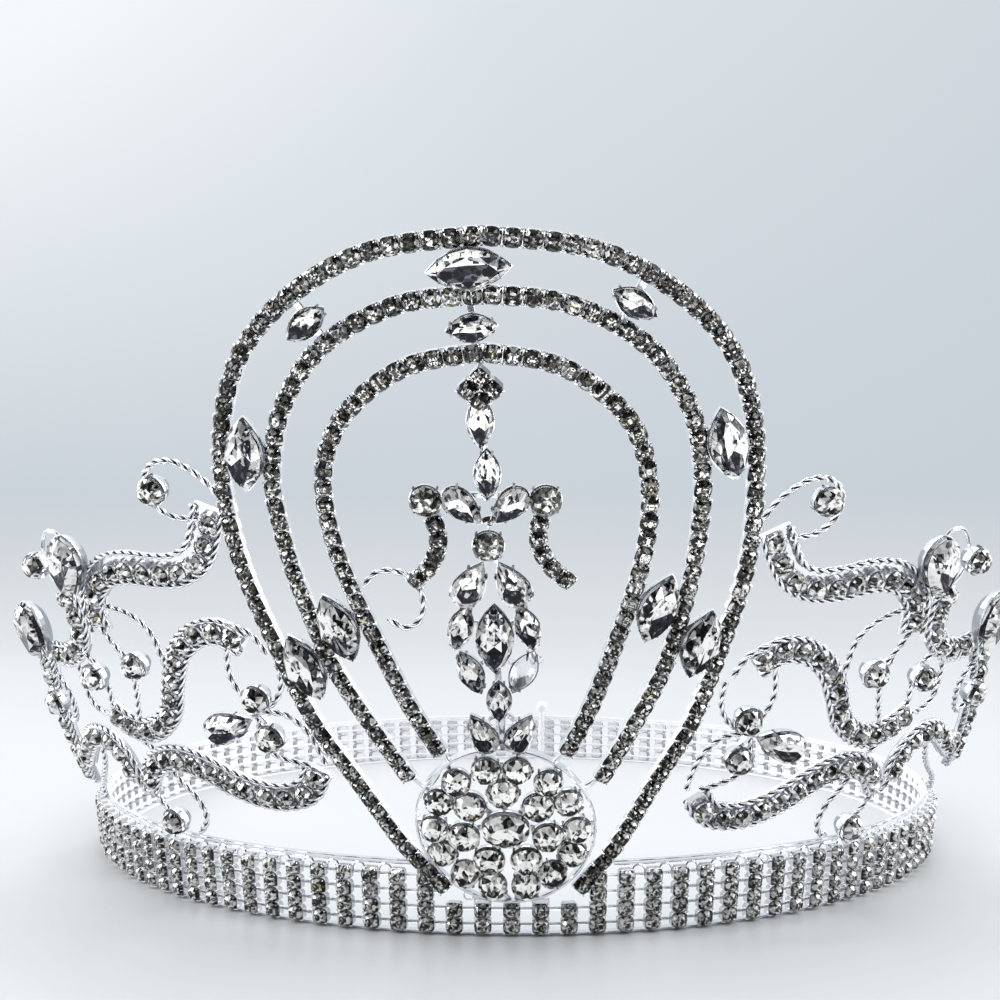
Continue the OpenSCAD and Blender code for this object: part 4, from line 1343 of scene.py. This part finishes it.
# The studio's lamps: name, place and aim in metres, size and power.
LAMPS = (
    ("left", (-0.75, -0.25, 0.55), (0, 0, 0.05), 0.5, 3.2),
    ("right", (0.75, -0.2, 0.6), (0, 0, 0.05), 0.5, 3.0),
    ("top", (0.0, 0.1, 1.1), (0, 0, 0.03), 0.7, 4.0),
    ("left_side", (-0.55, 0.12, 0.22), (0, 0, 0.05), 0.35, 0.8),
    ("right_side", (0.55, 0.12, 0.22), (0, 0, 0.05), 0.35, 0.8),
    ("bounce", (0.0, -0.23, 0.004), (0, -0.23, 1), 0.2, 0.12),
)


class CROWN_OT_studio(bpy.types.Operator):
    """Set the crown in a pale studio with a camera at the photograph's angle"""
    bl_idname = "crown.studio"
    bl_label = "Studio"

    def execute(self, context):
        scene = context.scene
        cam = bpy.data.cameras.new("camera")
        cam.sensor_width = 36.0
        cam.lens = LENS
        cam.clip_start = 0.01
        eye = added("camera", cam)
        eye.location = EYE
        eye.rotation_euler = (math.radians(EYE_TILT), 0, math.radians(EYE_TURN))
        scene.camera = eye
        table = self.table()
        for lamp in LAMPS:
            self.light(*lamp)
        scene.world = self.room()
        scene.view_settings.view_transform = "Standard"
        return {"FINISHED"}

    @staticmethod
    def light(name, place, aim, size, power):
        lamp = bpy.data.lights.new(name, "AREA")
        lamp.shape = "SQUARE"
        lamp.size = size
        lamp.energy = power
        obj = added(name, lamp)
        obj.location = place
        obj.rotation_euler = (Vector(aim) - Vector(place)).to_track_quat("-Z", "Y").to_euler()
        obj.visible_camera = False

    @staticmethod
    def room():
        """Pale all round, but dark in front for what the metal and the stones mirror."""
        world = bpy.data.worlds.new("studio")
        world.use_nodes = True
        world.node_tree.nodes.clear()
        tree = Tree(world.node_tree)
        way = tree.node("ShaderNodeTexCoord").outputs["Generated"]
        parts = tree.node("ShaderNodeSeparateXYZ", {"Vector": way})
        front = tree.value(parts, "Y") * 0.5 + 0.5
        tones = [(position, (tone * 0.96, tone * 0.98, tone))
                 for position, tone in ((0.14, 0.03), (0.36, 1.0))]
        seen = tree.node("ShaderNodeLightPath").outputs["Is Camera Ray"]
        sky = tree.mix(seen, tree.ramp(front, tones).outputs[0], (0.66, 0.71, 0.75, 1))
        light = tree.node("ShaderNodeBackground", {"Color": sky})
        tree.node("ShaderNodeOutputWorld", {"Surface": light})
        return world

    @staticmethod
    def table():
        """A white table that runs up into a wall behind it."""
        edge, radius, steps = 420, 320, 12
        profile = [(-900, 0), (edge, 0)]
        for i in range(1, steps + 1):
            a = math.radians(i * 90 / steps)
            profile.append((edge + radius * math.sin(a), radius - radius * math.cos(a)))
        profile.append((edge + radius, 1500))
        n = len(profile)
        form = Form()
        form.add([(x, y, z) for x in (-950, 950) for y, z in profile],
                 [[i, i + 1, n + i + 1, n + i] for i in range(n - 1)])
        table = form.make("table", CROWN_OT_studio.table_material())
        table.data.shade_smooth()
        return table

    @staticmethod
    def table_material():
        """A glossy white table that runs up into a wall whose light is painted: it glows by
        itself, lighter towards the left and changing with height.
        """
        material, tree = new_material("white_table")
        place = tree.node("ShaderNodeTexCoord").outputs["Object"]
        parts = tree.node("ShaderNodeSeparateXYZ", {"Vector": place})
        across = tree.value(parts, "X").within(-0.4, 0.4)
        up = tree.value(parts, "Z").within(0.0, 0.6)
        ripple = tree.node("ShaderNodeTexNoise", {"Vector": place, "Scale": 7.0, "Detail": 2.0})
        top = tree.node("ShaderNodeBsdfPrincipled", {
            "Base Color": (0.63, 0.645, 0.655, 1), "Roughness": tree.value(ripple) * 0.2 + 0.28})
        # Painted light: the wall's own glow, lighter towards the left and changing with height.
        fade = 0.29 - across * 0.37 + (across * -1.0).clamped()
        glow = (0.727 - across * 0.09 + (up - 0.153) * fade).within(0.3, 0.97)
        shade = tree.mix(((glow - 0.7) * 3.3).clamped(), (0.85, 0.925, 1.0, 1),
                         (0.945, 0.98, 1.0, 1))
        lit = tree.node("ShaderNodeVectorMath", {0: shade, "Scale": glow}, operation="SCALE")
        wall = tree.node("ShaderNodeBsdfPrincipled", {
            "Base Color": (0.0, 0.0, 0.0, 1), "Specular IOR Level": 0.0,
            "Emission Color": lit, "Emission Strength": 1.0})
        mixed = tree.node("ShaderNodeMixShader", {0: (up * 12.0).clamped(), 1: top, 2: wall})
        tree.node("ShaderNodeOutputMaterial", {"Surface": mixed})
        return material


class CROWN_PT_panel(bpy.types.Panel):
    bl_label = "Crown"
    bl_idname = "CROWN_PT_panel"
    bl_space_type = "VIEW_3D"
    bl_region_type = "UI"
    bl_category = "Crown"

    def draw(self, context):
        sizes = context.scene.crown_sizes
        for name in ("chain_pitch", "chain_width", "rope_width", "rope_lay", "scroll_pitch",
                     "seed"):
            self.layout.prop(sizes, name)
        for step in STEPS:
            self.layout.operator(step.bl_idname)


STEPS = (CROWN_OT_studio, CROWN_OT_band, CROWN_OT_arches, CROWN_OT_gallery, CROWN_OT_medallion,
         CROWN_OT_column, CROWN_OT_panels, CROWN_OT_finish)
CLASSES = (CrownSizes,) + STEPS + (CROWN_PT_panel,)


def register():
    for c in CLASSES:
        bpy.utils.register_class(c)
    bpy.types.Scene.crown_sizes = bpy.props.PointerProperty(type=CrownSizes)


def unregister():
    del bpy.types.Scene.crown_sizes
    for c in reversed(CLASSES):
        bpy.utils.unregister_class(c)


def main():
    register()
    bpy.ops.crown.studio()
    bpy.ops.crown.band()
    bpy.ops.crown.arches()
    bpy.ops.crown.gallery()
    bpy.ops.crown.medallion()
    bpy.ops.crown.column()
    bpy.ops.crown.panels()
    bpy.ops.crown.finish()


if __name__ == "__main__":
    main()
